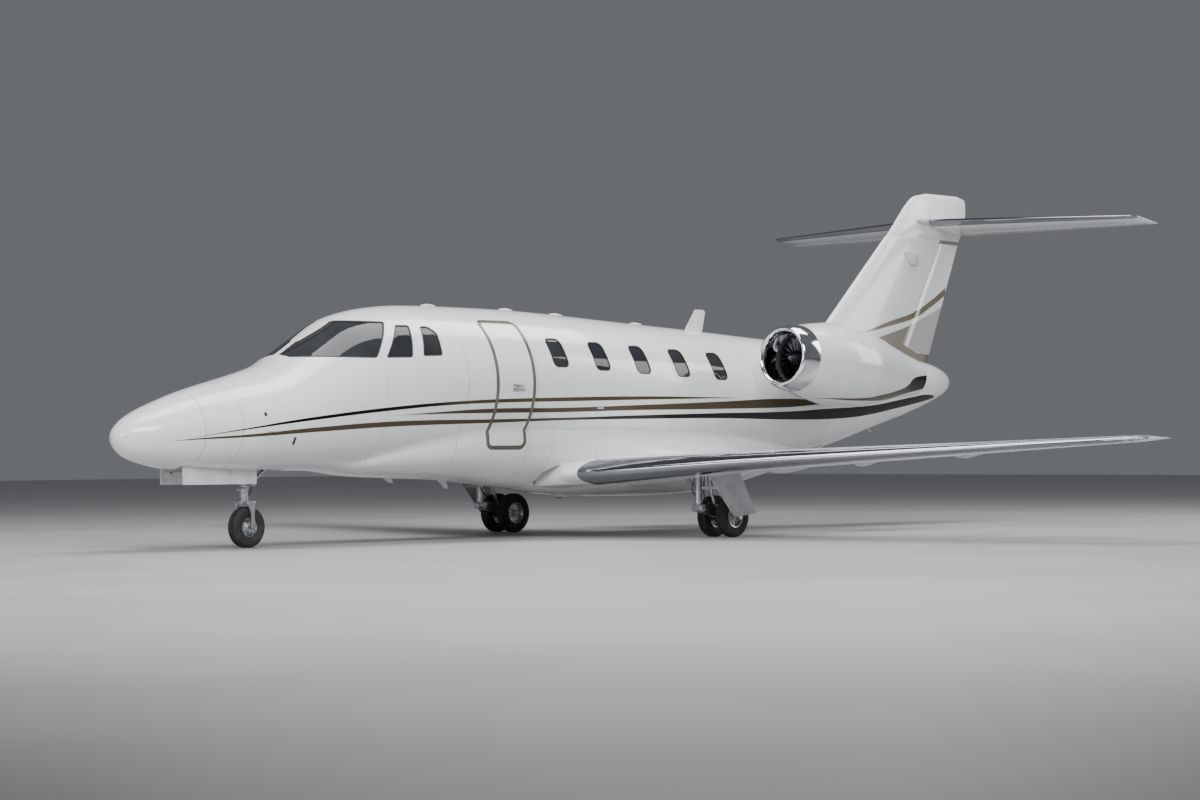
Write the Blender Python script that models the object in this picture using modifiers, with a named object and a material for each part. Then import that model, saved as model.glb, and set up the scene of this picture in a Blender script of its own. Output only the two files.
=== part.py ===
"""Twin-engine business jet with a T-tail, parked on its wheels with its door shut.

Metres: +X is forward, +Y is port, +Z is up. The ground is at Z = 0 and the
origin lies on it, under the middle of the aircraft's length.
"""

import math
from collections import namedtuple

import bmesh
import bpy
from mathutils import Matrix, Vector

# Driving dimensions of the whole aircraft.
HALF_SPAN = 8.155
FIN_TOP = 5.12
WHEELBASE = 6.50
NOSE_WHEEL_X = 6.43
MAIN_WHEEL_X = NOSE_WHEEL_X - WHEELBASE
MAIN_WHEEL_Y = 2.05

# Clearances: between pieces that touch, and round pieces that move.
GAP = 0.0003
RUNNING_GAP = 0.008
END_GAP = 0.010

# Fuselage: outer skin sections from the nose to the tail, joined by straight loft strips.
# Below the crease the skin swells out from the round into a keel, as far as "swell" says.
Skin = namedtuple("Skin", "x top bottom half widest crease keel swell")
SKIN = [
    Skin(8.450, 1.360, 1.340, 0.012, 1.350, 1.343, 1.340, 0.0),
    Skin(8.430, 1.415, 1.275, 0.085, 1.350, 1.300, 1.275, 0.0),
    Skin(8.370, 1.490, 1.190, 0.165, 1.350, 1.240, 1.190, 0.0),
    Skin(8.240, 1.590, 1.100, 0.265, 1.355, 1.180, 1.100, 0.0),
    Skin(8.000, 1.705, 1.025, 0.370, 1.365, 1.130, 1.025, 0.0),
    Skin(7.740, 1.800, 0.975, 0.450, 1.380, 1.100, 0.975, 0.0),
    Skin(7.470, 1.890, 0.955, 0.525, 1.400, 1.090, 0.955, 0.0),
    Skin(7.100, 1.990, 0.940, 0.620, 1.430, 1.080, 0.940, 0.0),
    Skin(6.700, 2.090, 0.930, 0.710, 1.470, 1.080, 0.930, 0.0),
    Skin(6.300, 2.200, 0.930, 0.780, 1.520, 1.080, 0.930, 0.0),
    Skin(6.120, 2.265, 0.930, 0.805, 1.550, 1.075, 0.930, 0.0),
    Skin(5.950, 2.360, 0.930, 0.830, 1.590, 1.070, 0.928, 0.0),
    Skin(5.550, 2.600, 0.935, 0.880, 1.680, 1.050, 0.915, 0.3),
    Skin(5.100, 2.840, 0.940, 0.925, 1.780, 1.040, 0.875, 0.8),
    Skin(4.850, 2.915, 0.950, 0.945, 1.830, 1.100, 0.855, 1.0),
    Skin(4.500, 2.980, 0.960, 0.965, 1.890, 1.170, 0.835, 1.0),
    Skin(4.000, 3.025, 0.990, 0.985, 1.960, 1.265, 0.815, 1.0),
    Skin(3.500, 3.035, 1.010, 0.998, 2.000, 1.350, 0.800, 1.0),
    Skin(3.000, 3.035, 1.030, 1.000, 2.020, 1.415, 0.770, 1.0),
    Skin(2.400, 3.030, 1.040, 1.000, 2.020, 1.430, 0.705, 1.0),
    Skin(1.900, 3.020, 1.050, 1.000, 2.010, 1.430, 0.655, 1.0),
    Skin(0.000, 2.930, 1.050, 1.000, 1.930, 1.420, 0.540, 1.0),
    Skin(-1.900, 2.835, 1.020, 0.970, 1.860, 1.350, 0.580, 1.0),
    Skin(-2.700, 2.790, 0.995, 0.935, 1.845, 1.270, 0.700, 1.0),
    Skin(-3.300, 2.755, 0.985, 0.900, 1.850, 1.210, 0.850, 1.0),
    Skin(-4.000, 2.715, 1.075, 0.825, 1.885, 1.180, 1.060, 0.5),
    Skin(-4.700, 2.675, 1.215, 0.735, 1.935, 1.400, 1.215, 0.0),
    Skin(-5.700, 2.615, 1.460, 0.580, 2.025, 1.620, 1.460, 0.0),
    Skin(-6.700, 2.550, 1.700, 0.420, 2.115, 1.820, 1.700, 0.0),
    Skin(-7.300, 2.470, 1.875, 0.300, 2.165, 1.960, 1.875, 0.0),
    Skin(-7.600, 2.380, 1.985, 0.205, 2.180, 2.040, 1.985, 0.0),
    Skin(-7.740, 2.300, 2.065, 0.120, 2.180, 2.100, 2.065, 0.0),
    Skin(-7.790, 2.215, 2.140, 0.035, 2.178, 2.155, 2.140, 0.0),
]
ROUND_STEPS = 9
KEEL_STEPS = 4
KEEL_SHOULDER = 0.09
CABIN_WALL = 0.060
TAIL_WALL = 0.020
RADOME_SEAM_X = 7.470
COCKPIT_SEAM_X = 5.950
FAIRING_SEAM_X = 1.900
TAIL_SEAM_X = -2.900
TAIL_CAVITY_END_X = -6.900

# Cabin floor and the bulkheads.
FLOOR_TOP = 1.330
FLOOR_THICK = 0.050
FLOOR_FRONT_X = 5.300
BULKHEAD_X = -2.600
BULKHEAD_THICK = 0.050

# Entry door in the port wall, ahead of the wing: an airstair hinged along its foot.
DOOR_X = (2.420, 3.090)
DOOR_SILL_Z = 1.200
DOOR_HEAD = ((0.30, 2.72), (1.30, 3.08))
DOOR_CORNER = 0.090
DOOR_HINGE = (0.800, 1.190)
DOOR_SIDE_GAP = 0.006
DOOR_HEAD_GAP = 0.014
DOOR_FOOT = (0.660, 1.370)
STEP_RISES = (1.55, 1.88, 2.21)
STEP_DEPTH = 0.200
STEP_THICK = 0.035

# Windows: the cabin's row of five a side, and the cockpit's panes as (x, z) corners.
WINDOW_COUNT = 5
WINDOW_FIRST_X = 1.910
WINDOW_PITCH = 0.805
WINDOW_FIRST_Z = 2.440
WINDOW_DROP = 0.031
WINDOW_SIZE = (0.300, 0.390)
WINDOW_LEAN = 0.035
WINDOW_CORNER = 0.085
SIDE_WINDOWS = [
    [(4.88, 2.32), (4.47, 2.33), (4.30, 2.75), (4.51, 2.75)],
    [(4.30, 2.35), (3.98, 2.36), (3.93, 2.66), (4.02, 2.74), (4.15, 2.74)],
]
WINDSHIELD_PANE = [(6.04, 2.325), (5.01, 2.315), (4.62, 2.79), (5.17, 2.80)]
CENTRE_POST_HALF = 0.045
ANTENNA_BLADE = [(-1.64, 2.800), (-1.99, 2.800), (-2.07, 3.120), (-2.03, 3.150), (-1.86, 3.150)]
ANTENNA_HALF = 0.014
PANE_CORNER = 0.035
PANE_GAP = 0.001
PANE_DEPTH = (0.004, 0.070)
STRAP_DEPTH = (CABIN_WALL + GAP, 0.075)

# Lifting surfaces. "span" runs outwards on the wing and tailplane and upwards on the fin,
# and "fall" is how far a section drops for each metre aft: the tailplane rides nose up.
Rib = namedtuple("Rib", "span lead chord height thick")
Foil = namedtuple("Foil", "ribs upright camber fall")
WING = Foil(
    [
        Rib(0.000, 2.050, 3.300, 0.800, 0.125),
        Rib(1.150, 1.800, 3.050, 0.860, 0.130),
        Rib(3.000, 1.120, 2.170, 0.985, 0.125),
        Rib(8.000, -0.715, 0.735, 1.265, 0.110),
        Rib(HALF_SPAN, -0.840, 0.560, 1.275, 0.060),
    ],
    False,
    0.012,
    0.0,
)
FIN = Foil(
    [
        Rib(2.300, -4.030, 3.200, 0.0, 0.105),
        Rib(2.660, -4.415, 2.970, 0.0, 0.105),
        Rib(4.4097, -6.290, 1.870, 0.0, 0.100),
    ],
    True,
    0.0,
    0.0,
)
TAILPLANE = Foil(
    [
        Rib(0.000, -7.170, 1.250, 4.690, 0.115),
        Rib(3.420, -7.785, 0.665, 4.610, 0.100),
        Rib(3.500, -7.860, 0.590, 4.608, 0.055),
    ],
    False,
    0.0,
    0.136,
)
SKIN_FRACTIONS = (0.06, 0.12, 0.22, 0.36, 0.50, 0.64, 0.80, 1.0)
EDGE_FRACTIONS = (0.0, 0.006, 0.022)
LEADING_EDGE_FRACTION = 0.06
TRAILING_EDGE_HALF = 0.003
WING_ROOT_Y = 0.900

# Moving surfaces: spans at the hinge, and the hinge's place on the chord.
Surface = namedtuple("Surface", "low high hinge")
INBOARD_FLAP = Surface(1.300, 2.840, 0.74)
OUTBOARD_FLAP = Surface(3.020, 5.480, 0.74)
AILERON = Surface(5.560, 7.760, 0.74)
ELEVATOR = Surface(0.215, 3.380, 0.68)
RUDDER = Surface(2.740, 4.350, 0.738)
RUDDER_FOOT_SLOPE = 0.36
SPOILER = Surface(3.250, 5.250, 0.60)
SPOILER_REAR = 0.708
SPOILER_THICK = 0.018

# Fin cap: a bullet over the tailplane joint, as level sections.
Cap = namedtuple("Cap", "z front rear half")
FIN_CAP = [
    Cap(4.410, -6.300, -8.160, 0.092),
    Cap(4.560, -6.450, -8.250, 0.108),
    Cap(4.750, -6.630, -8.330, 0.110),
    Cap(4.940, -6.820, -8.345, 0.095),
    Cap(5.060, -7.000, -8.330, 0.066),
    Cap(FIN_TOP, -7.300, -8.130, 0.018),
]

# Engines: radii along the nacelle's axis, from the lip of the inlet aft.
ENGINE_Y = 1.620
LIP_X = -1.820
LIP_Z = 2.450
ENGINE_TILT = math.radians(5.0)
FAN_FRONT = 0.340
FAN_DEPTH = 0.100
FAN_RADIUS = 0.335
FAN_HUB = 0.120
FAN_BLADES = 18
DUCT_RADIUS = 0.357
LIP_OUTER = [(0.0, 0.390), (0.02, 0.412), (0.09, 0.437), (0.300, 0.465)]
LIP_INNER = [(0.300, 0.345), (0.10, 0.338), (0.02, 0.358)]
NACELLE_OUTER = [(0.3003, 0.465), (0.68, 0.536), (1.07, 0.583), (1.45, 0.580), (1.84, 0.515),
                 (2.22, 0.427), (2.61, 0.335), (3.00, 0.262)]
NACELLE_INNER = [(3.00, 0.244), (2.61, 0.302), (1.84, 0.440), (0.76, 0.440), (0.73, DUCT_RADIUS),
                 (0.60, DUCT_RADIUS), (0.3003, 0.345)]
ENGINE_BLOCK = [(0.4403, 0.0), (0.4403, 0.070), (0.600, 0.085), (0.605, DUCT_RADIUS - GAP),
                (0.700, DUCT_RADIUS - GAP), (0.730, 0.250), (2.100, 0.230), (2.850, 0.0)]
PYLON_Y = (0.450, 1.400)
PYLON_X = (-2.750, -4.350)
PYLON_Z = (2.300, 2.310)
PYLON_HALF_THICK = 0.075

# Landing gear.
MAIN_TYRE_RADIUS = 0.2795
MAIN_TYRE_HALF = 0.073
MAIN_TYRE_OFFSET = 0.165
NOSE_TYRE_RADIUS = 0.254
NOSE_TYRE_HALF = 0.080
TYRE_STEPS = 20
ENGINE_STEPS = 22
STEER_AXIS_X = NOSE_WHEEL_X + 0.040
NOSE_BAY_X = (5.985, 7.600)
NOSE_BAY_HALF = 0.220
NOSE_BAY_TOP = 1.240
NOSE_DOOR_X = (6.450, 7.580)
NOSE_DOOR_Z = (0.780, 1.060)
PLATE = 0.020
MAIN_POST_X = 0.420
MAIN_DOOR_Y = 2.370
MAIN_DOOR = [(0.62, 0.86), (-0.02, 0.86), (-0.36, 0.31), (0.08, 0.27)]
JACK_PAD = (0.350, 3.200)
JACK_PAD_Z = (0.872, 0.930)
JACK_PAD_RADIUS = 0.045


def clear_scene():
    for old in list(bpy.data.objects):
        bpy.data.objects.remove(old, do_unlink=True)


def new_collection(name):
    collection = bpy.data.collections.new(name)
    bpy.context.scene.collection.children.link(collection)
    return collection


def new_material(name, colour, roughness, metallic=0.0):
    material = bpy.data.materials.new(name)
    material.use_nodes = True
    shader = material.node_tree.nodes["Principled BSDF"]
    shader.inputs["Base Color"].default_value = (*colour, 1.0)
    shader.inputs["Roughness"].default_value = roughness
    shader.inputs["Metallic"].default_value = metallic
    return material


clear_scene()
PARTS = new_collection("business_jet")
CUTTERS = new_collection("cutters")
WHITE = new_material("white_paint", (0.86, 0.87, 0.88), 0.18)
GREY = new_material("grey_paint", (0.55, 0.56, 0.58), 0.30)
POLISHED = new_material("polished_metal", (0.80, 0.81, 0.84), 0.08, 1.0)
STEEL = new_material("gear_steel", (0.62, 0.63, 0.66), 0.35, 0.9)
DARK_METAL = new_material("fan_metal", (0.10, 0.10, 0.11), 0.35, 0.9)
GLASS = new_material("dark_glass", (0.03, 0.035, 0.04), 0.05)
TYRE = new_material("tyre_rubber", (0.02, 0.02, 0.021), 0.75)
LEATHER = new_material("tan_leather", (0.52, 0.42, 0.30), 0.55)
CARPET = new_material("carpet", (0.30, 0.26, 0.22), 0.95)
PANEL = new_material("panel_plastic", (0.05, 0.05, 0.055), 0.6)


def add_object(name, bm, material, origin=(0.0, 0.0, 0.0), collection=None):
    """A new object whose origin is at the given point and whose faces point out."""
    bmesh.ops.recalc_face_normals(bm, faces=bm.faces[:])
    bmesh.ops.translate(bm, verts=bm.verts[:], vec=-Vector(origin))
    mesh = bpy.data.meshes.new(name)
    bm.to_mesh(mesh)
    bm.free()
    mesh.shade_smooth()
    mesh.set_sharp_from_angle(angle=math.radians(35))
    obj = bpy.data.objects.new(name, mesh)
    obj.location = origin
    if material:
        mesh.materials.append(material)
    (collection or PARTS).objects.link(obj)
    return obj


def as_cutter(obj):
    for collection in list(obj.users_collection):
        collection.objects.unlink(obj)
    CUTTERS.objects.link(obj)
    obj.hide_render = True
    obj.display_type = "WIRE"
    return obj


def cutter(name, bm):
    return as_cutter(add_object(name, bm, None))


def boolean(obj, operation, *others, solver="EXACT"):
    for other in others:
        modifier = obj.modifiers.new(f"{operation.lower()}_{other.name}", "BOOLEAN")
        modifier.operation = operation
        modifier.object = other
        modifier.solver = solver
    return obj


def loft(rings, closed=False):
    """Strips between rings of points, with a flat end on the first and last ring."""
    bm = bmesh.new()
    rows = [[bm.verts.new(point) for point in ring] for ring in rings]
    count = len(rows[0])
    pairs = list(zip(rows, rows[1:]))
    if closed:
        pairs.append((rows[-1], rows[0]))
    for near, far in pairs:
        # The same diagonal from either end, so that lofts that share a surface match.
        if near[0].co.x < far[0].co.x:
            near, far = far, near
        for i in range(count):
            j = (i + 1) % count
            bm.faces.new((near[i], near[j], far[j]))
            bm.faces.new((near[i], far[j], far[i]))
    if not closed:
        bm.faces.new(rows[0])
        bm.faces.new(reversed(rows[-1]))
    return bm


def prism(outline, axis, low, high, corner=0.0, segments=3):
    """An outline in the other two axes, extruded along one, with its long edges rounded."""
    axis_index = "XYZ".index(axis)
    bm = bmesh.new()
    places = []
    for first, second in outline:
        point = [first, second]
        point.insert(axis_index, low)
        places.append(bm.verts.new(point))
    base = bm.faces.new(places)
    grown = bmesh.ops.extrude_face_region(bm, geom=[base])
    far = [item for item in grown["geom"] if isinstance(item, bmesh.types.BMVert)]
    shift = Vector((0.0, 0.0, 0.0))
    shift[axis_index] = high - low
    bmesh.ops.translate(bm, verts=far, vec=shift)
    if corner:
        long_edges = [
            edge for edge in bm.edges
            if abs(edge.verts[0].co[axis_index] - edge.verts[1].co[axis_index]) > 1e-6
        ]
        bmesh.ops.bevel(
            bm, geom=long_edges, offset=corner, offset_type="OFFSET", affect="EDGES",
            segments=segments, profile=0.5, material=-1, clamp_overlap=True,
        )
    return bm


def box(x, y, z, corner=0.0):
    """A box between the two values of each axis, its upright edges rounded."""
    outline = [(x[0], y[0]), (x[1], y[0]), (x[1], y[1]), (x[0], y[1])]
    return prism(outline, "Z", z[0], z[1], corner)


def rod(start, end, radius, sides=12):
    """A round bar between two points."""
    start, end = Vector(start), Vector(end)
    run = end - start
    bm = bmesh.new()
    bmesh.ops.create_cone(
        bm, cap_ends=True, segments=sides, radius1=radius, radius2=radius, depth=run.length
    )
    turn = run.to_track_quat("Z", "Y").to_matrix().to_4x4()
    bmesh.ops.transform(bm, matrix=Matrix.Translation((start + end) / 2) @ turn, verts=bm.verts[:])
    return bm


def turned(name, profile, steps, place, material, ring=False):
    """A lathe shape about local Z: (radius, height) points, down the outer side."""
    mesh = bpy.data.meshes.new(name)
    points = [(radius, 0.0, height) for radius, height in profile]
    edges = [(i, i + 1) for i in range(len(points) - 1)]
    if ring:
        edges.append((len(points) - 1, 0))
    mesh.from_pydata(points, edges, [])
    if material:
        mesh.materials.append(material)
    obj = bpy.data.objects.new(name, mesh)
    obj.matrix_world = place
    PARTS.objects.link(obj)
    screw = obj.modifiers.new("turn", "SCREW")
    screw.axis = "Z"
    screw.angle = math.tau
    screw.steps = steps
    screw.render_steps = steps
    screw.use_merge_vertices = True
    screw.merge_threshold = 0.0001
    screw.use_smooth_shade = True
    return obj


# Fuselage


def skin_at(x):
    """The skin's section at x, between the two stations on either side."""
    for fore, aft in zip(SKIN, SKIN[1:]):
        if aft.x <= x <= fore.x:
            part = (fore.x - x) / (fore.x - aft.x)
            return Skin(*(a + (b - a) * part for a, b in zip(fore, aft)))
    raise ValueError(f"no skin at x = {x}")


def skin_ring(x, inset=0.0, keel=True):
    """Points round the fuselage at x, from the top down the port side and up the other."""
    row = skin_at(x)
    half = row.half - inset
    rise = row.top - inset - row.widest
    fall = row.widest - row.bottom - inset
    crease_angle = -math.asin(min(0.98, (row.widest - row.crease) / (row.widest - row.bottom)))
    angles = [
        math.pi / 2 + (crease_angle - math.pi / 2) * i / ROUND_STEPS for i in range(ROUND_STEPS)
    ]
    angles += [
        crease_angle + (-math.pi / 2 - crease_angle) * i / KEEL_STEPS
        for i in range(KEEL_STEPS + 1)
    ]
    side = []
    for angle in angles:
        reach = rise if angle > 0 else fall
        side.append(Vector((half * math.cos(angle), row.widest + reach * math.sin(angle))))
    if keel and row.swell > 0:
        corner = side[ROUND_STEPS].copy()
        drop = corner.y - row.keel
        bend = (
            corner,
            Vector((corner.x + KEEL_SHOULDER * row.swell, corner.y - 0.45 * drop)),
            Vector((0.75 * corner.x, row.keel)),
            Vector((0.0, row.keel)),
        )
        for i in range(KEEL_STEPS + 1):
            t = i / KEEL_STEPS
            swollen = (
                (1 - t) ** 3 * bend[0] + 3 * (1 - t) ** 2 * t * bend[1]
                + 3 * (1 - t) * t ** 2 * bend[2] + t ** 3 * bend[3]
            )
            side[ROUND_STEPS + i] = side[ROUND_STEPS + i].lerp(swollen, row.swell)
    points = [(x, place.x, place.y) for place in side]
    points += [(x, -place.x, place.y) for place in reversed(side[1:-1])]
    return points


def skin_stations(front, rear):
    stations = sorted({row.x for row in SKIN} | {TAIL_SEAM_X}, reverse=True)
    between = [x for x in stations if rear + 0.02 < x < front - 0.02]
    return [front, *between, rear]


def skin_solid(front, rear, inset=0.0, keel=True):
    return loft([skin_ring(x, inset, keel) for x in skin_stations(front, rear)])


def fuselage_tools():
    """Solids of the whole round, which trim what meets the fuselage."""
    front, rear = SKIN[0].x, SKIN[-1].x
    outside = cutter("round_outside", skin_solid(front, rear, -GAP, keel=False))
    inside = cutter(
        "cabin_inside", skin_solid(COCKPIT_SEAM_X, TAIL_SEAM_X, CABIN_WALL + GAP, False)
    )
    return outside, inside


def nose_bay():
    return cutter(
        "nose_bay",
        box(NOSE_BAY_X, (-NOSE_BAY_HALF, NOSE_BAY_HALF), (0.5, NOSE_BAY_TOP)),
    )


def nose_pieces(bay):
    radome = add_object("radome", skin_solid(SKIN[0].x, RADOME_SEAM_X), WHITE)
    section = add_object(
        "nose_section", skin_solid(RADOME_SEAM_X - GAP, COCKPIT_SEAM_X + GAP), WHITE
    )
    boolean(radome, "DIFFERENCE", bay)
    boolean(section, "DIFFERENCE", bay)


def cabin_rings():
    """Rings round the cabin wall: out along the skin, and back along the inside."""
    step = 0.005
    fore = [skin_ring(x) for x in skin_stations(COCKPIT_SEAM_X, FAIRING_SEAM_X)]
    aft = [
        skin_ring(x, keel=False) for x in skin_stations(FAIRING_SEAM_X - step, TAIL_SEAM_X)
    ]
    back = [
        skin_ring(x, CABIN_WALL, False)
        for x in reversed(skin_stations(COCKPIT_SEAM_X, TAIL_SEAM_X))
    ]
    return fore + aft + back


def door_prism(grow=0.0, head=0.0):
    """The block that holds the door, or the opening when grown."""
    low, high = DOOR_X[0] - grow, DOOR_X[1] + grow
    (inner_y, inner_z), (outer_y, outer_z) = DOOR_HEAD
    sill = DOOR_SILL_Z - grow
    outline = [
        (inner_y, sill), (outer_y, sill), (outer_y, outer_z + head), (inner_y, inner_z + head)
    ]
    bm = prism(outline, "X", low, high)
    corners = [
        edge for edge in bm.edges
        if abs(edge.verts[0].co.x - edge.verts[1].co.x) < 1e-6
        and abs(edge.verts[0].co.y - edge.verts[1].co.y) > 0.5
    ]
    bmesh.ops.bevel(
        bm, geom=corners, offset=DOOR_CORNER + grow, offset_type="OFFSET", affect="EDGES",
        segments=4, profile=0.5, material=-1,
    )
    return bm


def window_outline(index, shrink=0.0):
    x = WINDOW_FIRST_X - WINDOW_PITCH * index
    z = WINDOW_FIRST_Z - WINDOW_DROP * index
    wide, high = WINDOW_SIZE[0] / 2 - shrink, WINDOW_SIZE[1] / 2 - shrink
    return [
        (x - wide - WINDOW_LEAN, z - high), (x + wide - WINDOW_LEAN, z - high),
        (x + wide, z + high), (x - wide, z + high),
    ]


def shrunk(outline, amount):
    """The outline with every point moved towards the middle by about the amount."""
    middle = sum((Vector(point) for point in outline), Vector((0.0, 0.0))) / len(outline)
    moved = []
    for point in outline:
        run = middle - Vector(point)
        moved.append(Vector(point) + run.normalized() * amount)
    return [tuple(point) for point in moved]


def joined(pieces):
    """One bmesh that holds several."""
    whole = bmesh.new()
    for bm in pieces:
        mesh = bpy.data.meshes.new("joined")
        bm.to_mesh(mesh)
        bm.free()
        whole.from_mesh(mesh)
        bpy.data.meshes.remove(mesh)
    return whole


def pane_prisms(kind, low, high, shrink=0.0):
    """Blocks through the wall where one kind of window is, from y = low to y = high."""
    if kind == "cabin":
        return [
            prism(window_outline(i, shrink), "Y", low, high, WINDOW_CORNER - shrink, 2)
            for i in range(WINDOW_COUNT)
        ]
    outlines = SIDE_WINDOWS if kind == "side" else [WINDSHIELD_PANE]
    return [
        prism(shrunk(outline, 1.4 * shrink) if shrink else outline, "Y", low, high,
              PANE_CORNER - shrink, 2)
        for outline in outlines
    ]


def windshield_prisms(shrink=0.0):
    low = CENTRE_POST_HALF + shrink
    return pane_prisms("front", low, 1.2, shrink) + pane_prisms("front", -1.2, -low, shrink)


def glass_layer(depths, x_range):
    """The part of the wall between two depths, as a solid band."""
    outer = [skin_ring(x, depths[0], False) for x in skin_stations(*x_range)]
    inner = [skin_ring(x, depths[1], False) for x in reversed(skin_stations(*x_range))]
    return loft(outer + inner, closed=True)


def glazing(name, prisms, strap, x_range):
    """Panes that stand in their openings, joined by a strap along the inside of the wall."""
    panes = add_object(name, glass_layer(PANE_DEPTH, x_range), GLASS)
    boolean(panes, "INTERSECT", cutter(f"{name}_panes", joined(prisms)), solver="MANIFOLD")
    band = cutter(f"{name}_band", glass_layer(STRAP_DEPTH, x_range))
    boolean(band, "INTERSECT", cutter(f"{name}_strap", strap), solver="MANIFOLD")
    boolean(panes, "UNION", band, solver="MANIFOLD")


def cabin_shell():
    shell = add_object("cabin_shell", loft(cabin_rings(), closed=True), WHITE)
    boolean(shell, "DIFFERENCE", cutter("door_opening", door_prism(DOOR_SIDE_GAP, DOOR_HEAD_GAP)))
    for kind in ("cabin", "side"):
        boolean(shell, "DIFFERENCE", cutter(f"{kind}_holes", joined(pane_prisms(kind, -1.3, 1.3))))
    boolean(shell, "DIFFERENCE", cutter("windshield_holes", joined(windshield_prisms())))
    blade = prism(ANTENNA_BLADE, "Y", -ANTENNA_HALF, ANTENNA_HALF)
    boolean(shell, "UNION", cutter("antenna_blade", blade))


def windows():
    cockpit = (COCKPIT_SEAM_X, 3.500)
    strap = box((4.90, 5.10), (-1.1, 1.1), (2.40, 2.78))
    glazing("windshield", windshield_prisms(PANE_GAP), strap, cockpit)
    cabin = (2.400, -1.900)
    for name, side in (("left", 1), ("right", -1)):
        low, high = sorted((0.40 * side, 1.2 * side))
        strap = box((4.10, 4.70), (low, high), (2.50, 2.56))
        glazing(f"cockpit_windows_{name}", pane_prisms("side", low, high, PANE_GAP), strap, cockpit)
        rail = [(2.00, 2.44), (2.00, 2.50), (-1.45, 2.37), (-1.45, 2.31)]
        strap = prism(rail, "Y", low, high)
        glazing(f"cabin_windows_{name}", pane_prisms("cabin", low, high, PANE_GAP), strap, cabin)


def entry_door():
    x_range = (3.500, FAIRING_SEAM_X)
    outer = [skin_ring(x) for x in skin_stations(*x_range)]
    inner = [skin_ring(x, CABIN_WALL, False) for x in reversed(skin_stations(*x_range))]
    middle_x = sum(DOOR_X) / 2
    hinge = (middle_x, DOOR_HINGE[0], DOOR_HINGE[1])
    door = add_object("entry_door", loft(outer + inner, closed=True), WHITE, hinge)
    boolean(door, "INTERSECT", cutter("door_block", door_prism()))
    foot = box((DOOR_X[0] - 0.1, DOOR_X[1] + 0.1), (0.2, DOOR_FOOT[0]), (1.0, DOOR_FOOT[1]))
    boolean(door, "DIFFERENCE", cutter("door_foot", foot))
    treads = []
    for rise in STEP_RISES:
        row = skin_at(middle_x)
        fall = (row.widest - rise) / (row.widest - row.bottom if rise < row.widest else
                                      row.top - row.widest)
        wall = row.half * math.cos(math.asin(fall)) - CABIN_WALL / 2
        treads.append(box((DOOR_X[0] + 0.06, DOOR_X[1] - 0.06), (wall - STEP_DEPTH, wall),
                          (rise, rise + STEP_THICK)))
    boolean(door, "UNION", cutter("door_steps", joined(treads)))


def cabin_floor(inside):
    plate = add_object(
        "cabin_floor",
        box((BULKHEAD_X, FLOOR_FRONT_X), (-1.2, 1.2), (FLOOR_TOP - FLOOR_THICK, FLOOR_TOP)),
        CARPET,
    )
    wall = box((BULKHEAD_X - BULKHEAD_THICK, BULKHEAD_X + 0.001), (-1.2, 1.2), (0.9, 3.0))
    boolean(plate, "UNION", cutter("aft_bulkhead", wall))
    boolean(plate, "INTERSECT", inside)
    notch = box((DOOR_X[0] - 0.06, DOOR_X[1] + 0.06), (0.46, 1.2), (1.0, 1.5))
    boolean(plate, "DIFFERENCE", cutter("door_notch", notch))


def instrument_panel(inside):
    outline = [(5.02, 1.80), (5.10, 2.20), (5.02, 2.26), (5.42, 2.28), (5.42, 1.72)]
    panel = add_object("instrument_panel", prism(outline, "Y", -1.1, 1.1), PANEL)
    boolean(panel, "INTERSECT", inside)
    pedestal = prism(
        [(5.20, FLOOR_TOP + GAP), (4.62, FLOOR_TOP + GAP), (4.62, 1.66), (5.05, 1.84), (5.20, 1.9)],
        "Y", -0.14, 0.14,
    )
    boolean(panel, "UNION", cutter("pedestal", pedestal))


# Seat seen from the side: (distance ahead of the seat's middle, height over its base).
SEAT_SIDE = [
    (-0.16, 0.0), (0.16, 0.0), (0.14, 0.20), (0.27, 0.22), (0.27, 0.38), (-0.15, 0.36),
    (-0.26, 0.90), (-0.40, 0.88), (-0.27, 0.22), (-0.14, 0.20),
]
SEAT_WIDTH = 0.50
SEAT_BASE = 0.020


def seats(name, places, base):
    """Seats at (x, y, facing), standing on one base plate that carries them."""
    low = FLOOR_TOP + GAP
    x_range, y_range = base
    plate = add_object(name, box(x_range, y_range, (low, low + SEAT_BASE)), LEATHER)
    for i, (x, y, facing) in enumerate(places):
        outline = [(x + facing * ahead, low + SEAT_BASE / 2 + up) for ahead, up in SEAT_SIDE]
        block = prism(outline, "Y", y - SEAT_WIDTH / 2, y + SEAT_WIDTH / 2)
        boolean(plate, "UNION", cutter(f"{name}_{i + 1}", block))


def aft_fuselage():
    outer = [skin_ring(x, keel=False) for x in skin_stations(TAIL_SEAM_X - GAP, SKIN[-1].x)]
    shell = add_object("aft_fuselage", loft(outer), WHITE)
    hollow = skin_solid(TAIL_SEAM_X - GAP, TAIL_CAVITY_END_X, TAIL_WALL, False)
    for vert in hollow.verts:
        if vert.co.x > TAIL_SEAM_X - 0.001:
            vert.co.x += 0.01
    boolean(shell, "DIFFERENCE", cutter("tail_hollow", hollow))
    return shell


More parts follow.
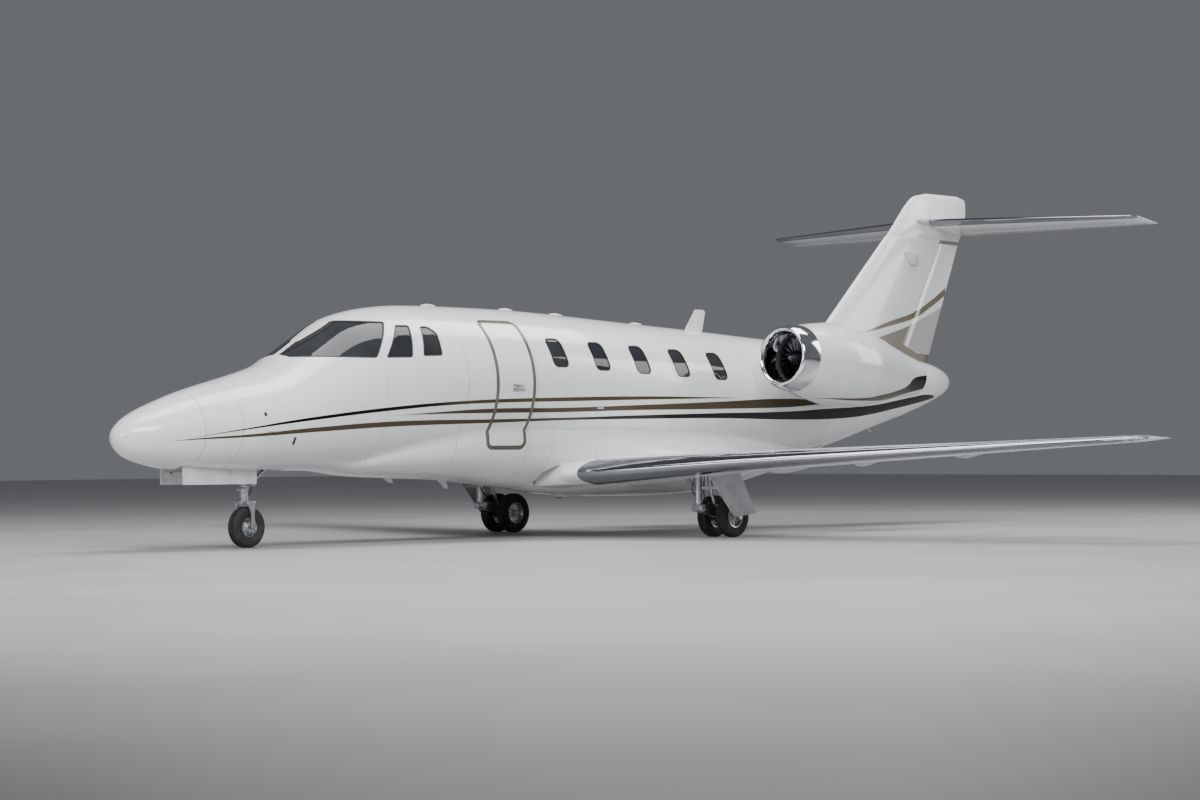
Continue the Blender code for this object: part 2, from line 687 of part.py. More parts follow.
# Belly fairing: half width at its shoulder, and how far its foot reaches, by station.
Belly = namedtuple("Belly", "x top shoulder_y shoulder_z foot_y bottom")
BELLY = [
    Belly(1.8945, 1.432, 0.767, 1.081, 0.448, 0.655),
    Belly(1.500, 1.438, 0.880, 1.100, 0.62, 0.602),
    Belly(1.000, 1.440, 1.060, 1.060, 0.86, 0.560),
    Belly(0.200, 1.435, 1.200, 1.000, 1.00, 0.532),
    Belly(-0.600, 1.420, 1.210, 0.990, 1.00, 0.530),
    Belly(-1.300, 1.390, 1.150, 1.000, 0.95, 0.550),
    Belly(-1.900, 1.350, 1.020, 1.020, 0.82, 0.600),
    Belly(-2.600, 1.280, 0.850, 1.060, 0.64, 0.715),
    Belly(-3.300, 1.210, 0.680, 1.080, 0.45, 0.870),
    Belly(-4.000, 1.160, 0.450, 1.120, 0.25, 1.055),
    Belly(-4.300, 1.300, 0.300, 1.250, 0.15, 1.200),
]
BELLY_STEPS = 8


def belly_ring(row):
    """Half sections of one arc from the crease to the shoulder and on to the centre line."""
    skin = skin_at(row.x)
    fall = (skin.widest - row.top) / (skin.widest - skin.bottom)
    crease_y = skin.half * math.cos(math.asin(min(0.95, fall)))
    bend = (
        Vector((crease_y - 0.02, row.top)), Vector((row.shoulder_y + 0.12, row.shoulder_z)),
        Vector((row.foot_y + 0.15, row.bottom)), Vector((0.0, row.bottom)),
    )
    side = []
    for i in range(BELLY_STEPS + 1):
        t = i / BELLY_STEPS
        side.append(
            (1 - t) ** 3 * bend[0] + 3 * (1 - t) ** 2 * t * bend[1]
            + 3 * (1 - t) * t ** 2 * bend[2] + t ** 3 * bend[3]
        )
    points = [(row.x, place.x, place.y) for place in side]
    points += [(row.x, -place.x, place.y) for place in reversed(side[:-1])]
    return points


def belly_fairing(outside, wing_block):
    fairing = add_object("belly_fairing", loft([belly_ring(row) for row in BELLY]), WHITE)
    boolean(fairing, "DIFFERENCE", outside, wing_block, solver="MANIFOLD")


# Lifting surfaces


def rib_at(foil, span):
    span = abs(span)
    for near, far in zip(foil.ribs, foil.ribs[1:]):
        if near.span - 1e-6 <= span <= far.span + 1e-6:
            part = (span - near.span) / (far.span - near.span)
            return Rib(*(a + (b - a) * part for a, b in zip(near, far)))
    end = foil.ribs[0] if span < foil.ribs[0].span else foil.ribs[-1]
    beside = foil.ribs[1] if span < foil.ribs[0].span else foil.ribs[-2]
    part = (span - end.span) / (beside.span - end.span)
    return Rib(*(a + (b - a) * part for a, b in zip(end, beside)))


def half_thickness(rib, fraction):
    """Half the section's thickness, by the usual four-digit formula."""
    c = fraction
    curve = 0.2969 * math.sqrt(c) - 0.1260 * c - 0.3516 * c**2 + 0.2843 * c**3 - 0.1015 * c**4
    return 5 * rib.thick * rib.chord * curve + TRAILING_EDGE_HALF * c


def foil_place(foil, rib, span, fraction, across):
    x = rib.lead - fraction * rib.chord
    if foil.upright:
        return Vector((x, across, span))
    camber = 4 * foil.camber * rib.chord * fraction * (1 - fraction)
    drop = foil.fall * rib.chord * fraction
    return Vector((x, span, rib.height + camber - drop + across))


def foil_ring(foil, span, fractions, grow=0.0):
    """Section points over the top from front to rear, and back along the underside."""
    rib = rib_at(foil, span)
    rib = rib._replace(lead=rib.lead + grow, chord=rib.chord + 2 * grow)
    top, under = [], []
    for fraction in fractions:
        thick = half_thickness(rib, fraction) + grow
        top.append(foil_place(foil, rib, span, fraction, thick))
        if fraction > 0 or grow:
            under.append(foil_place(foil, rib, span, fraction, -thick))
    return top + list(reversed(under))


def foil_spans(foil, low, high):
    between = [rib.span for rib in foil.ribs if low + 0.01 < rib.span < high - 0.01]
    return [low, *between, high]


def hinge_point(foil, surface, span):
    rib = rib_at(foil, span)
    return foil_place(foil, rib, span, surface.hinge, 0.0)


def hinge_line(foil, surface):
    """A point on the hinge and its direction, outwards or upwards."""
    low = hinge_point(foil, surface, surface.low)
    high = hinge_point(foil, surface, surface.high)
    return low, high, (high - low).normalized()


def mirror_to(bm, side):
    if side < 0:
        bmesh.ops.scale(bm, verts=bm.verts[:], vec=(1.0, -1.0, 1.0))
    return bm


def trim(bm, point, normal):
    """Cuts away what lies beyond a plane, and closes the cut."""
    cut = bmesh.ops.bisect_plane(
        bm, geom=bm.verts[:] + bm.edges[:] + bm.faces[:], dist=1e-6,
        plane_co=point, plane_no=normal, clear_outer=True,
    )
    rim = [item for item in cut["geom_cut"] if isinstance(item, bmesh.types.BMEdge)]
    bmesh.ops.contextual_create(bm, geom=rim)
    return bm


def surface_body(foil, surface, ends=None):
    """A moving surface with a round nose about its hinge."""
    reach = 0.12
    rings = []
    for span in foil_spans(foil, surface.low - reach, surface.high + reach):
        rib = rib_at(foil, span)
        centre = foil_place(foil, rib, span, surface.hinge, 0.0)
        radius = half_thickness(rib, surface.hinge)
        tail = [surface.hinge, (surface.hinge + 1) / 2, 1.0]
        top = [foil_place(foil, rib, span, f, half_thickness(rib, f)) for f in tail]
        under = [foil_place(foil, rib, span, f, -half_thickness(rib, f)) for f in reversed(tail)]
        nose = []
        for angle in (225, 190, 170, 135):
            ahead = -radius * math.cos(math.radians(angle))
            across = radius * math.sin(math.radians(angle))
            offset = (ahead, across, 0.0) if foil.upright else (ahead, 0.0, across)
            nose.append(centre + Vector(offset))
        rings.append(top + under + nose)
    bm = loft(rings)
    for point, normal in ends or surface_ends(foil, surface, 0.0):
        trim(bm, point, normal)
    return bm


def surface_ends(foil, surface, grow):
    """Planes across the hinge at each end of a surface, moved out by grow."""
    low, high, along = hinge_line(foil, surface)
    return [(low - along * grow, -along), (high + along * grow, along)]


def surface_well(foil, surface, ends=None):
    """The block to cut from the fixed part, so that the surface turns freely in it."""
    reach = 0.135
    depth = 0.5
    rings = []
    for span in foil_spans(foil, surface.low - reach, surface.high + reach):
        rib = rib_at(foil, span)
        centre = foil_place(foil, rib, span, surface.hinge, 0.0)
        front = half_thickness(rib, surface.hinge) + RUNNING_GAP
        rear = -rib.chord
        corners = [(front, depth), (front, -depth), (rear, -depth), (rear, depth)]
        ring = []
        for ahead, across in corners:
            offset = (ahead, across, 0.0) if foil.upright else (ahead, 0.0, across)
            ring.append(centre + Vector(offset))
        rings.append(ring)
    bm = loft(rings)
    for point, normal in ends or surface_ends(foil, surface, END_GAP):
        trim(bm, point, normal)
    return bm


def spoiler_body(grow=0.0):
    """A flat panel let into the wing's upper skin, or its recess when grown."""
    rings = []
    for span in foil_spans(WING, SPOILER.low - 0.1, SPOILER.high + 0.1):
        rib = rib_at(WING, span)
        front, rear = SPOILER.hinge, SPOILER_REAR
        if grow:
            front -= grow / rib.chord
            rear += grow / rib.chord
        lift = 0.2 if grow else 0.0
        sink = SPOILER_THICK + grow
        edge = [
            foil_place(WING, rib, span, front, half_thickness(rib, front) + lift),
            foil_place(WING, rib, span, rear, half_thickness(rib, rear) + lift),
            foil_place(WING, rib, span, rear, half_thickness(rib, rear) - sink),
            foil_place(WING, rib, span, front, half_thickness(rib, front) - sink),
        ]
        rings.append(edge)
    bm = loft(rings)
    low, high = spoiler_hinge()
    along = (high - low).normalized()
    trim(bm, low - along * grow, -along)
    trim(bm, high + along * grow, along)
    return bm


def spoiler_hinge():
    ends = []
    for span in (SPOILER.low, SPOILER.high):
        rib = rib_at(WING, span)
        ends.append(foil_place(WING, rib, span, SPOILER.hinge, half_thickness(rib, SPOILER.hinge)))
    return ends


def both_sides(point, side):
    return Vector((point[0], point[1] * side, point[2]))


def wings():
    """The wing from tip to tip, its leading edges and all that moves on it."""
    spans = foil_spans(WING, 0.0, HALF_SPAN)
    whole = [-span for span in reversed(spans[1:])] + spans
    main = add_object("wing", loft([foil_ring(WING, s, SKIN_FRACTIONS) for s in whole]), WHITE)
    block_fractions = EDGE_FRACTIONS + SKIN_FRACTIONS
    block = cutter("wing_block", loft([foil_ring(WING, s, block_fractions, GAP) for s in whole]))
    moving = (("inboard_flap", INBOARD_FLAP), ("outboard_flap", OUTBOARD_FLAP),
              ("aileron", AILERON))
    for name, side in (("left", 1), ("right", -1)):
        edge_rings = []
        for span in foil_spans(WING, WING_ROOT_Y, HALF_SPAN):
            rear = LEADING_EDGE_FRACTION - GAP / rib_at(WING, span).chord
            edge_rings.append(foil_ring(WING, span, (*EDGE_FRACTIONS, rear)))
        add_object(f"wing_leading_edge_{name}", mirror_to(loft(edge_rings), side), POLISHED)
        for kind, surface in moving:
            low, high, _ = hinge_line(WING, surface)
            origin = both_sides((low + high) / 2, side)
            add_object(f"{kind}_{name}", mirror_to(surface_body(WING, surface), side), WHITE, origin)
            well = mirror_to(surface_well(WING, surface), side)
            boolean(main, "DIFFERENCE", cutter(f"{kind}_{name}_well", well))
        low, high = spoiler_hinge()
        origin = both_sides((low + high) / 2, side)
        add_object(f"spoiler_{name}", mirror_to(spoiler_body(), side), WHITE, origin)
        recess = mirror_to(spoiler_body(RUNNING_GAP), side)
        boolean(main, "DIFFERENCE", cutter(f"spoiler_{name}_recess", recess))
        pad_x, pad_y = JACK_PAD[0], JACK_PAD[1] * side
        pad = rod((pad_x, pad_y, JACK_PAD_Z[0]), (pad_x, pad_y, JACK_PAD_Z[1]), JACK_PAD_RADIUS)
        boolean(main, "UNION", cutter(f"jack_pad_{name}", pad))
    return block


def fin_and_rudder(outside):
    rings = [foil_ring(FIN, rib.span, (0.0, 0.02, *SKIN_FRACTIONS)) for rib in FIN.ribs]
    fin = add_object("fin", loft(rings), WHITE)
    foot = hinge_point(FIN, RUDDER, RUDDER.low)
    head = hinge_point(FIN, RUDDER, RUDDER.high)
    down = Vector((RUDDER_FOOT_SLOPE, 0.0, -1.0)).normalized()
    up = Vector((0.0, 0.0, 1.0))
    body = surface_body(FIN, RUDDER, [(foot, down), (head, up)])
    add_object("rudder", body, WHITE, (foot + head) / 2)
    well = surface_well(FIN, RUDDER, [(foot + down * RUNNING_GAP, down), (head + up, up)])
    boolean(fin, "DIFFERENCE", cutter("rudder_well", well), outside)


def lens_ring(level, points=8):
    """A level section of the fin cap: a lens from front to rear."""
    length = level.front - level.rear
    side = []
    for i in range(points + 1):
        t = i / points
        wide = level.half * (1 - abs(2 * (t**0.7) - 1) ** 2.2)
        side.append((level.front - length * t, max(wide, 0.004), level.z))
    return side + [(x, -y, z) for x, y, z in reversed(side)]


def tailplane():
    """The tailplane, its elevators and the cap over the joint."""
    spans = foil_spans(TAILPLANE, 0.0, TAILPLANE.ribs[-1].span)
    whole = [-span for span in reversed(spans[1:])] + spans
    fractions = (*EDGE_FRACTIONS, *SKIN_FRACTIONS)
    plane = add_object(
        "stabilizer", loft([foil_ring(TAILPLANE, s, fractions) for s in whole]), WHITE
    )
    block = cutter(
        "tailplane_block", loft([foil_ring(TAILPLANE, s, fractions, GAP) for s in whole])
    )
    cap = add_object("fin_cap", loft([lens_ring(level) for level in FIN_CAP]), WHITE)
    boolean(cap, "DIFFERENCE", block)
    low, high, _ = hinge_line(TAILPLANE, ELEVATOR)
    for name, side in (("left", 1), ("right", -1)):
        body = mirror_to(surface_body(TAILPLANE, ELEVATOR), side)
        add_object(f"elevator_{name}", body, WHITE, both_sides((low + high) / 2, side))
        well = mirror_to(surface_well(TAILPLANE, ELEVATOR), side)
        boolean(plane, "DIFFERENCE", cutter(f"elevator_{name}_well", well))


# Engines


def engine_place(side):
    turn = Matrix.Rotation(math.pi / 2 - ENGINE_TILT, 4, "Y")
    return Matrix.Translation((LIP_X, ENGINE_Y * side, LIP_Z)) @ turn


def along_axis(profile):
    """(distance aft, radius) as (radius, height) of a lathe whose top is the front."""
    return [(radius, -aft) for aft, radius in profile]


def fan(name, place):
    """Hub, pointed spinner and twisted blades drawn out of every other face of the hub."""
    bm = bmesh.new()
    bmesh.ops.create_cone(
        bm, cap_ends=True, segments=2 * FAN_BLADES, radius1=FAN_HUB, radius2=FAN_HUB,
        depth=FAN_DEPTH,
    )
    bmesh.ops.translate(bm, verts=bm.verts[:], vec=(0.0, 0.0, -FAN_FRONT - FAN_DEPTH / 2))
    front = max(bm.faces, key=lambda face: face.calc_center_median().z)
    for ahead, shrink in ((0.07, 0.70), (0.13, 0.08)):
        grown = bmesh.ops.extrude_face_region(bm, geom=[front])
        ring = [item for item in grown["geom"] if isinstance(item, bmesh.types.BMVert)]
        bmesh.ops.translate(bm, verts=ring, vec=(0.0, 0.0, ahead))
        for vert in ring:
            radius = math.hypot(vert.co.x, vert.co.y)
            vert.co.x *= FAN_HUB * shrink / radius
            vert.co.y *= FAN_HUB * shrink / radius
        bmesh.ops.delete(bm, geom=[front], context="FACES_ONLY")
        front = max(bm.faces, key=lambda face: face.calc_center_median().z)
    sides = [
        face for face in bm.faces
        if abs(face.normal.z) < 0.1 and face.calc_center_median().z < -FAN_FRONT
    ]
    sides.sort(key=lambda face: math.atan2(face.calc_center_median().y, face.calc_center_median().x))
    drawn = bmesh.ops.extrude_discrete_faces(bm, faces=sides[::2])["faces"]
    for face in drawn:
        centre = face.calc_center_median()
        out = Vector((centre.x, centre.y, 0.0)).normalized()
        middle = Vector((0.0, 0.0, centre.z))
        twist = Matrix.Rotation(math.radians(50), 3, out)
        for vert in face.verts:
            spread = twist @ (vert.co - centre)
            spread -= out * spread.dot(out)
            tip = middle + out * FAN_RADIUS + spread * 0.92
            radius = math.hypot(tip.x, tip.y)
            tip.x *= FAN_RADIUS / radius
            tip.y *= FAN_RADIUS / radius
            vert.co = tip
    obj = add_object(name, bm, DARK_METAL)
    obj.matrix_world = place


def pylon(name, side, outside, nacelle_block):
    """A short thick fin that carries the engine on the side of the fuselage."""
    rings = []
    for y in PYLON_Y:
        front, rear = PYLON_X
        chord = front - rear
        middle = PYLON_Z[0] if y == PYLON_Y[0] else PYLON_Z[1]
        ring = []
        for t, half in ((0.0, 0.25), (0.08, 0.75), (0.30, 1.0), (0.60, 0.9), (1.0, 0.15)):
            ring.append((front - chord * t, y * side, middle + PYLON_HALF_THICK * half))
        ring += [(x, spot, 2 * middle - z) for x, spot, z in reversed(ring)]
        rings.append(ring)
    obj = add_object(name, loft(rings), WHITE)
    boolean(obj, "DIFFERENCE", outside, nacelle_block)


def engines(outside):
    for name, side in (("left", 1), ("right", -1)):
        place = engine_place(side)
        turned(f"inlet_lip_{name}", along_axis(LIP_OUTER + LIP_INNER), ENGINE_STEPS, place, POLISHED, True)
        outer, inner = NACELLE_OUTER, NACELLE_INNER
        turned(f"nacelle_{name}", along_axis(outer + inner), ENGINE_STEPS, place, WHITE, True)
        turned(f"engine_{name}", along_axis(ENGINE_BLOCK), ENGINE_STEPS, place, DARK_METAL)
        fan(f"fan_{name}", place)
        swollen = [(outer[0][0], 0.0)]
        swollen += [(aft, radius + GAP) for aft, radius in outer]
        swollen += [(outer[-1][0], 0.0)]
        block = turned(f"nacelle_{name}_block", along_axis(swollen), ENGINE_STEPS, place, None)
        pylon(f"pylon_{name}", side, outside, as_cutter(block))


# Landing gear


def wheel_place(x, y, radius):
    """Wheel axis along Y at the height that sets one flat of the tyre on the ground."""
    half_step = math.pi / TYRE_STEPS
    height = radius * math.cos(half_step)
    turn = Matrix.Rotation(-math.pi / 2, 4, "X") @ Matrix.Rotation(half_step, 4, "Z")
    return Matrix.Translation((x, y, height)) @ turn


def tyre(name, radius, half, rim, place, offset):
    """A tyre with a flat tread, round shoulders and upright walls."""
    shoulder = radius - 0.30 * half
    profile = [
        (rim, half * 0.80), (0.5 * (radius + rim), half), (shoulder, half * 0.90),
        (radius, half * 0.55), (radius, -half * 0.55), (shoulder, -half * 0.90),
        (0.5 * (radius + rim), -half), (rim, -half * 0.80),
    ]
    return turned(name, [(r, h + offset) for r, h in profile], TYRE_STEPS, place, TYRE, True)


MAIN_RIM = 0.150
NOSE_RIM = 0.120
AXLE_RADIUS = 0.026


def rim_profile(rim, half, offset):
    """Down one dished rim, from its outer face to its inner one."""
    return [
        (AXLE_RADIUS, offset + half * 0.20), (rim * 0.80, offset + half * 0.15),
        (rim - GAP, offset + half * 0.75), (rim - GAP, offset - half * 0.75),
        (AXLE_RADIUS, offset - half * 0.45),
    ]


def main_wheels(name, side):
    place = wheel_place(MAIN_WHEEL_X, MAIN_WHEEL_Y * side, MAIN_TYRE_RADIUS)
    for kind, offset in (("outer", MAIN_TYRE_OFFSET * side), ("inner", -MAIN_TYRE_OFFSET * side)):
        tyre(f"main_tyre_{kind}_{name}", MAIN_TYRE_RADIUS, MAIN_TYRE_HALF, MAIN_RIM, place, offset)
    end = MAIN_TYRE_OFFSET + MAIN_TYRE_HALF * 0.60
    upper = rim_profile(MAIN_RIM, MAIN_TYRE_HALF, MAIN_TYRE_OFFSET)
    lower = [(radius, -height) for radius, height in reversed(upper)]
    profile = [(0.0, end), (AXLE_RADIUS, end), *upper, *lower, (AXLE_RADIUS, -end), (0.0, -end)]
    turned(f"main_wheel_{name}", profile, TYRE_STEPS, place, STEEL)


def main_leg(name, side, wing_block):
    """Post, shock strut and trailing arm down to a boss round the axle."""
    y = MAIN_WHEEL_Y * side
    axle_z = MAIN_TYRE_RADIUS * math.cos(math.pi / TYRE_STEPS)
    pivot = (MAIN_POST_X, y, 0.400)
    leg = add_object(
        f"main_leg_{name}", rod(pivot, (MAIN_POST_X, y, 0.92), 0.060), STEEL
    )
    arm = prism(
        [(MAIN_POST_X + 0.07, 0.445), (MAIN_POST_X + 0.07, 0.345), (MAIN_WHEEL_X - 0.02, axle_z - 0.05),
         (MAIN_WHEEL_X - 0.06, axle_z + 0.03), (MAIN_WHEEL_X + 0.02, axle_z + 0.08)],
        "Y", y - 0.035, y + 0.035,
    )
    knuckle = rod((MAIN_POST_X, y - 0.085, 0.395), (MAIN_POST_X, y + 0.085, 0.395), 0.055)
    boss = rod((MAIN_WHEEL_X, y - 0.050, axle_z), (MAIN_WHEEL_X, y + 0.050, axle_z), 0.062, 16)
    shock = rod((MAIN_WHEEL_X + 0.13, y, axle_z + 0.06), (0.22, y, 0.92), 0.032)
    brace = rod((MAIN_POST_X, y, 0.60), (MAIN_POST_X, y - 0.34 * side, 0.92), 0.025)
    boolean(leg, "UNION", *(cutter(f"main_leg_{name}_{kind}", bm) for kind, bm in (
        ("knuckle", knuckle), ("arm", arm), ("boss", boss), ("shock", shock), ("brace", brace))))
    bore = rod((MAIN_WHEEL_X, y - 0.2, axle_z), (MAIN_WHEEL_X, y + 0.2, axle_z), 0.0315, 24)
    boolean(leg, "DIFFERENCE", cutter(f"main_leg_{name}_bore", bore), wing_block)


def main_door(name, side, wing_block):
    """A plate outboard of the leg, held to the post by one link."""
    y = MAIN_DOOR_Y * side
    low, high = sorted((y, y + PLATE * side))
    plate = add_object(f"main_gear_door_{name}", prism(MAIN_DOOR, "Y", low, high), GREY)
    inner = (MAIN_WHEEL_Y + 0.0603) * side
    link = rod((MAIN_POST_X, inner, 0.66), (MAIN_POST_X, y + 0.5 * PLATE * side, 0.66), 0.022, 10)
    boolean(plate, "UNION", cutter(f"main_gear_door_{name}_link", link))
    boolean(plate, "DIFFERENCE", wing_block)


def nose_gear():
    place = wheel_place(NOSE_WHEEL_X, 0.0, NOSE_TYRE_RADIUS)
    axle_z = place.translation.z
    tyre("nose_tyre", NOSE_TYRE_RADIUS, NOSE_TYRE_HALF, NOSE_RIM, place, 0.0)
    end = 0.135
    profile = [(0.0, end), (0.018, end), (0.018, NOSE_TYRE_HALF * 0.5)]
    profile += [(NOSE_RIM * 0.4, NOSE_TYRE_HALF * 0.45), (NOSE_RIM * 0.8, NOSE_TYRE_HALF * 0.2),
                (NOSE_RIM - GAP, NOSE_TYRE_HALF * 0.75)]
    profile += [(radius, -height) for radius, height in reversed(profile)]
    turned("nose_wheel", profile, TYRE_STEPS, place, STEEL)

    crown = 0.600
    leg = add_object(
        "nose_leg", rod((STEER_AXIS_X, 0, crown + GAP), (STEER_AXIS_X, 0, NOSE_BAY_TOP - GAP), 0.055),
        STEEL,
    )
    brace = rod((STEER_AXIS_X, 0, 0.70), (NOSE_BAY_X[0] + 0.04, 0, 1.05), 0.026)
    cross = rod((NOSE_BAY_X[0] + 0.04, -NOSE_BAY_HALF + GAP, 1.05),
                (NOSE_BAY_X[0] + 0.04, NOSE_BAY_HALF - GAP, 1.05), 0.028)
    trunnion = rod((STEER_AXIS_X, -NOSE_BAY_HALF + GAP, 1.12),
                   (STEER_AXIS_X, NOSE_BAY_HALF - GAP, 1.12), 0.040)
    boolean(leg, "UNION", *(cutter(f"nose_leg_{kind}", bm) for kind, bm in (
        ("brace", brace), ("cross", cross), ("trunnion", trunnion))), solver="MANIFOLD")

    fork = add_object(
        "nose_fork", rod((STEER_AXIS_X, 0, 0.535), (STEER_AXIS_X, 0, crown), 0.060), STEEL,
        (STEER_AXIS_X, 0, crown),
    )
    bridge = box((NOSE_WHEEL_X - 0.045, STEER_AXIS_X + 0.05), (-0.135, 0.135), (0.535, 0.575))
    arms = [
        prism([(NOSE_WHEEL_X - 0.035, axle_z - 0.03), (NOSE_WHEEL_X + 0.035, axle_z - 0.03),
               (STEER_AXIS_X + 0.04, 0.56), (NOSE_WHEEL_X - 0.04, 0.56)],
              "Y", *sorted((0.105 * side, 0.133 * side)))
        for side in (1, -1)
    ]
    boolean(fork, "UNION", cutter("nose_fork_bridge", bridge))
    boolean(fork, "UNION", cutter("nose_fork_arms", joined(arms)))
    bore = rod((NOSE_WHEEL_X, -0.2, axle_z), (NOSE_WHEEL_X, 0.2, axle_z), 0.0235, 24)
    boolean(fork, "DIFFERENCE", cutter("nose_fork_bore", bore))

    for name, side in (("left", 1), ("right", -1)):
        outer = (NOSE_BAY_HALF - GAP) * side
        low, high = sorted((outer, outer - PLATE * side))
        door = box(NOSE_DOOR_X, (low, high), NOSE_DOOR_Z)
        add_object(f"nose_gear_door_{name}", door, WHITE)


def build():
    outside, inside = fuselage_tools()
    nose_pieces(nose_bay())
    cabin_shell()
    windows()
    entry_door()
    cabin_floor(inside)
    instrument_panel(inside)
    seats("cockpit_seats", [(4.30, 0.33, 1), (4.30, -0.33, 1)], ((3.95, 4.50), (-0.58, 0.58)))
    seats(
        "cabin_seats",
        [(1.75, 0.31, -1), (1.75, -0.31, -1), (0.45, 0.31, 1), (0.45, -0.31, 1),
         (-0.95, 0.31, 1), (-0.95, -0.31, 1)],
        ((-1.35, 2.20), (-0.44, 0.44)),
    )
    aft_fuselage()
    wing_block = wings()
    belly_fairing(outside, wing_block)
    fin_and_rudder(outside)
    tailplane()
    engines(outside)
    nose_gear()
    for name, side in (("left", 1), ("right", -1)):
        main_wheels(name, side)
        main_leg(name, side, wing_block)
        main_door(name, side, wing_block)


build()
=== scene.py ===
# %% [markdown]
# # A twin-engine business jet, dressed over its CAD frame
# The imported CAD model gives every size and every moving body. This lesson builds the skins,
# glass, trim, wheels and furniture that a viewer sees, each in the place of its CAD node.
# Everything is in metres: +X is forward, +Y is port and +Z is up from the ground.

import math
from collections import namedtuple

import bmesh
import bpy
from mathutils import Matrix, Vector, interpolate
from mathutils.bvhtree import BVHTree


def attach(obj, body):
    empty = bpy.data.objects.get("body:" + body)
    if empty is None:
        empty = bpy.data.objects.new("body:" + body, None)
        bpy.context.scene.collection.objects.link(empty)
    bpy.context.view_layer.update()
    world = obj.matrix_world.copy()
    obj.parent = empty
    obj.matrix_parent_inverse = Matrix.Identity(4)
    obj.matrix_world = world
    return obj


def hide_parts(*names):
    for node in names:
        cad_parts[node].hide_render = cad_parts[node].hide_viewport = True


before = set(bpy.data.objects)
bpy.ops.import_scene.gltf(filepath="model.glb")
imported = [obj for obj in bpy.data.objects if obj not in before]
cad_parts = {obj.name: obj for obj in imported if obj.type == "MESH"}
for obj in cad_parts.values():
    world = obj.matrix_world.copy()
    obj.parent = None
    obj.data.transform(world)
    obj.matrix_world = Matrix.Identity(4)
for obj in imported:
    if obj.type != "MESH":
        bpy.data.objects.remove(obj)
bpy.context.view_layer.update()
SIDES = (("left", 1), ("right", -1))

# %% [markdown]
# ## Camera
# A long lens stands well off the port bow at about chest height, so the jet shows its side and
# nose with little perspective. The view could be framed by eye, but here the place, heading and
# lens were solved from known points of the aircraft, so that every part lands where it should.

# %% Camera
CAMERA_PLACE = Vector((29.83, 27.86, 1.2))
HEADING, PITCH, ROLL = (math.radians(a) for a in (-136.97, 0.7, -0.31))
ahead = Vector((math.cos(PITCH) * math.cos(HEADING), math.cos(PITCH) * math.sin(HEADING),
                math.sin(PITCH)))
right = ahead.cross(Vector((0, 0, 1))).normalized()
up = right.cross(ahead)
right, up = (
    right * math.cos(ROLL) + up * math.sin(ROLL), up * math.cos(ROLL) - right * math.sin(ROLL)
)
camera_data = bpy.data.cameras.new("camera")
camera_data.lens = 88.95
camera_data.sensor_width = 36.0
camera_data.shift_x = -0.00583
camera_data.shift_y = 0.00917
camera_data.clip_end = 300.0
camera = bpy.data.objects.new("camera", camera_data)
turn = Matrix((right, up, -ahead)).transposed().to_4x4()
camera.matrix_world = Matrix.Translation(CAMERA_PLACE) @ turn
bpy.context.scene.collection.objects.link(camera)
bpy.context.scene.camera = camera
print("camera lens:", camera_data.lens, "mm")

# %% [markdown]
# ## Finishes
# Each finish is a Principled shader with a few nodes in front of it. Writing the nodes out by
# hand is long, so one small helper class adds a node, joins its inputs and gives back its output.
# Patterns read Object coordinates, which are the aircraft's own metres, so a stripe or a panel
# line can be placed straight from a drawing.


# %% Finish helper
PAINT_EDGE, STRIPE_EDGE = 0.002, 0.004
CURVE_START, CURVE_END = -8.6, 8.6


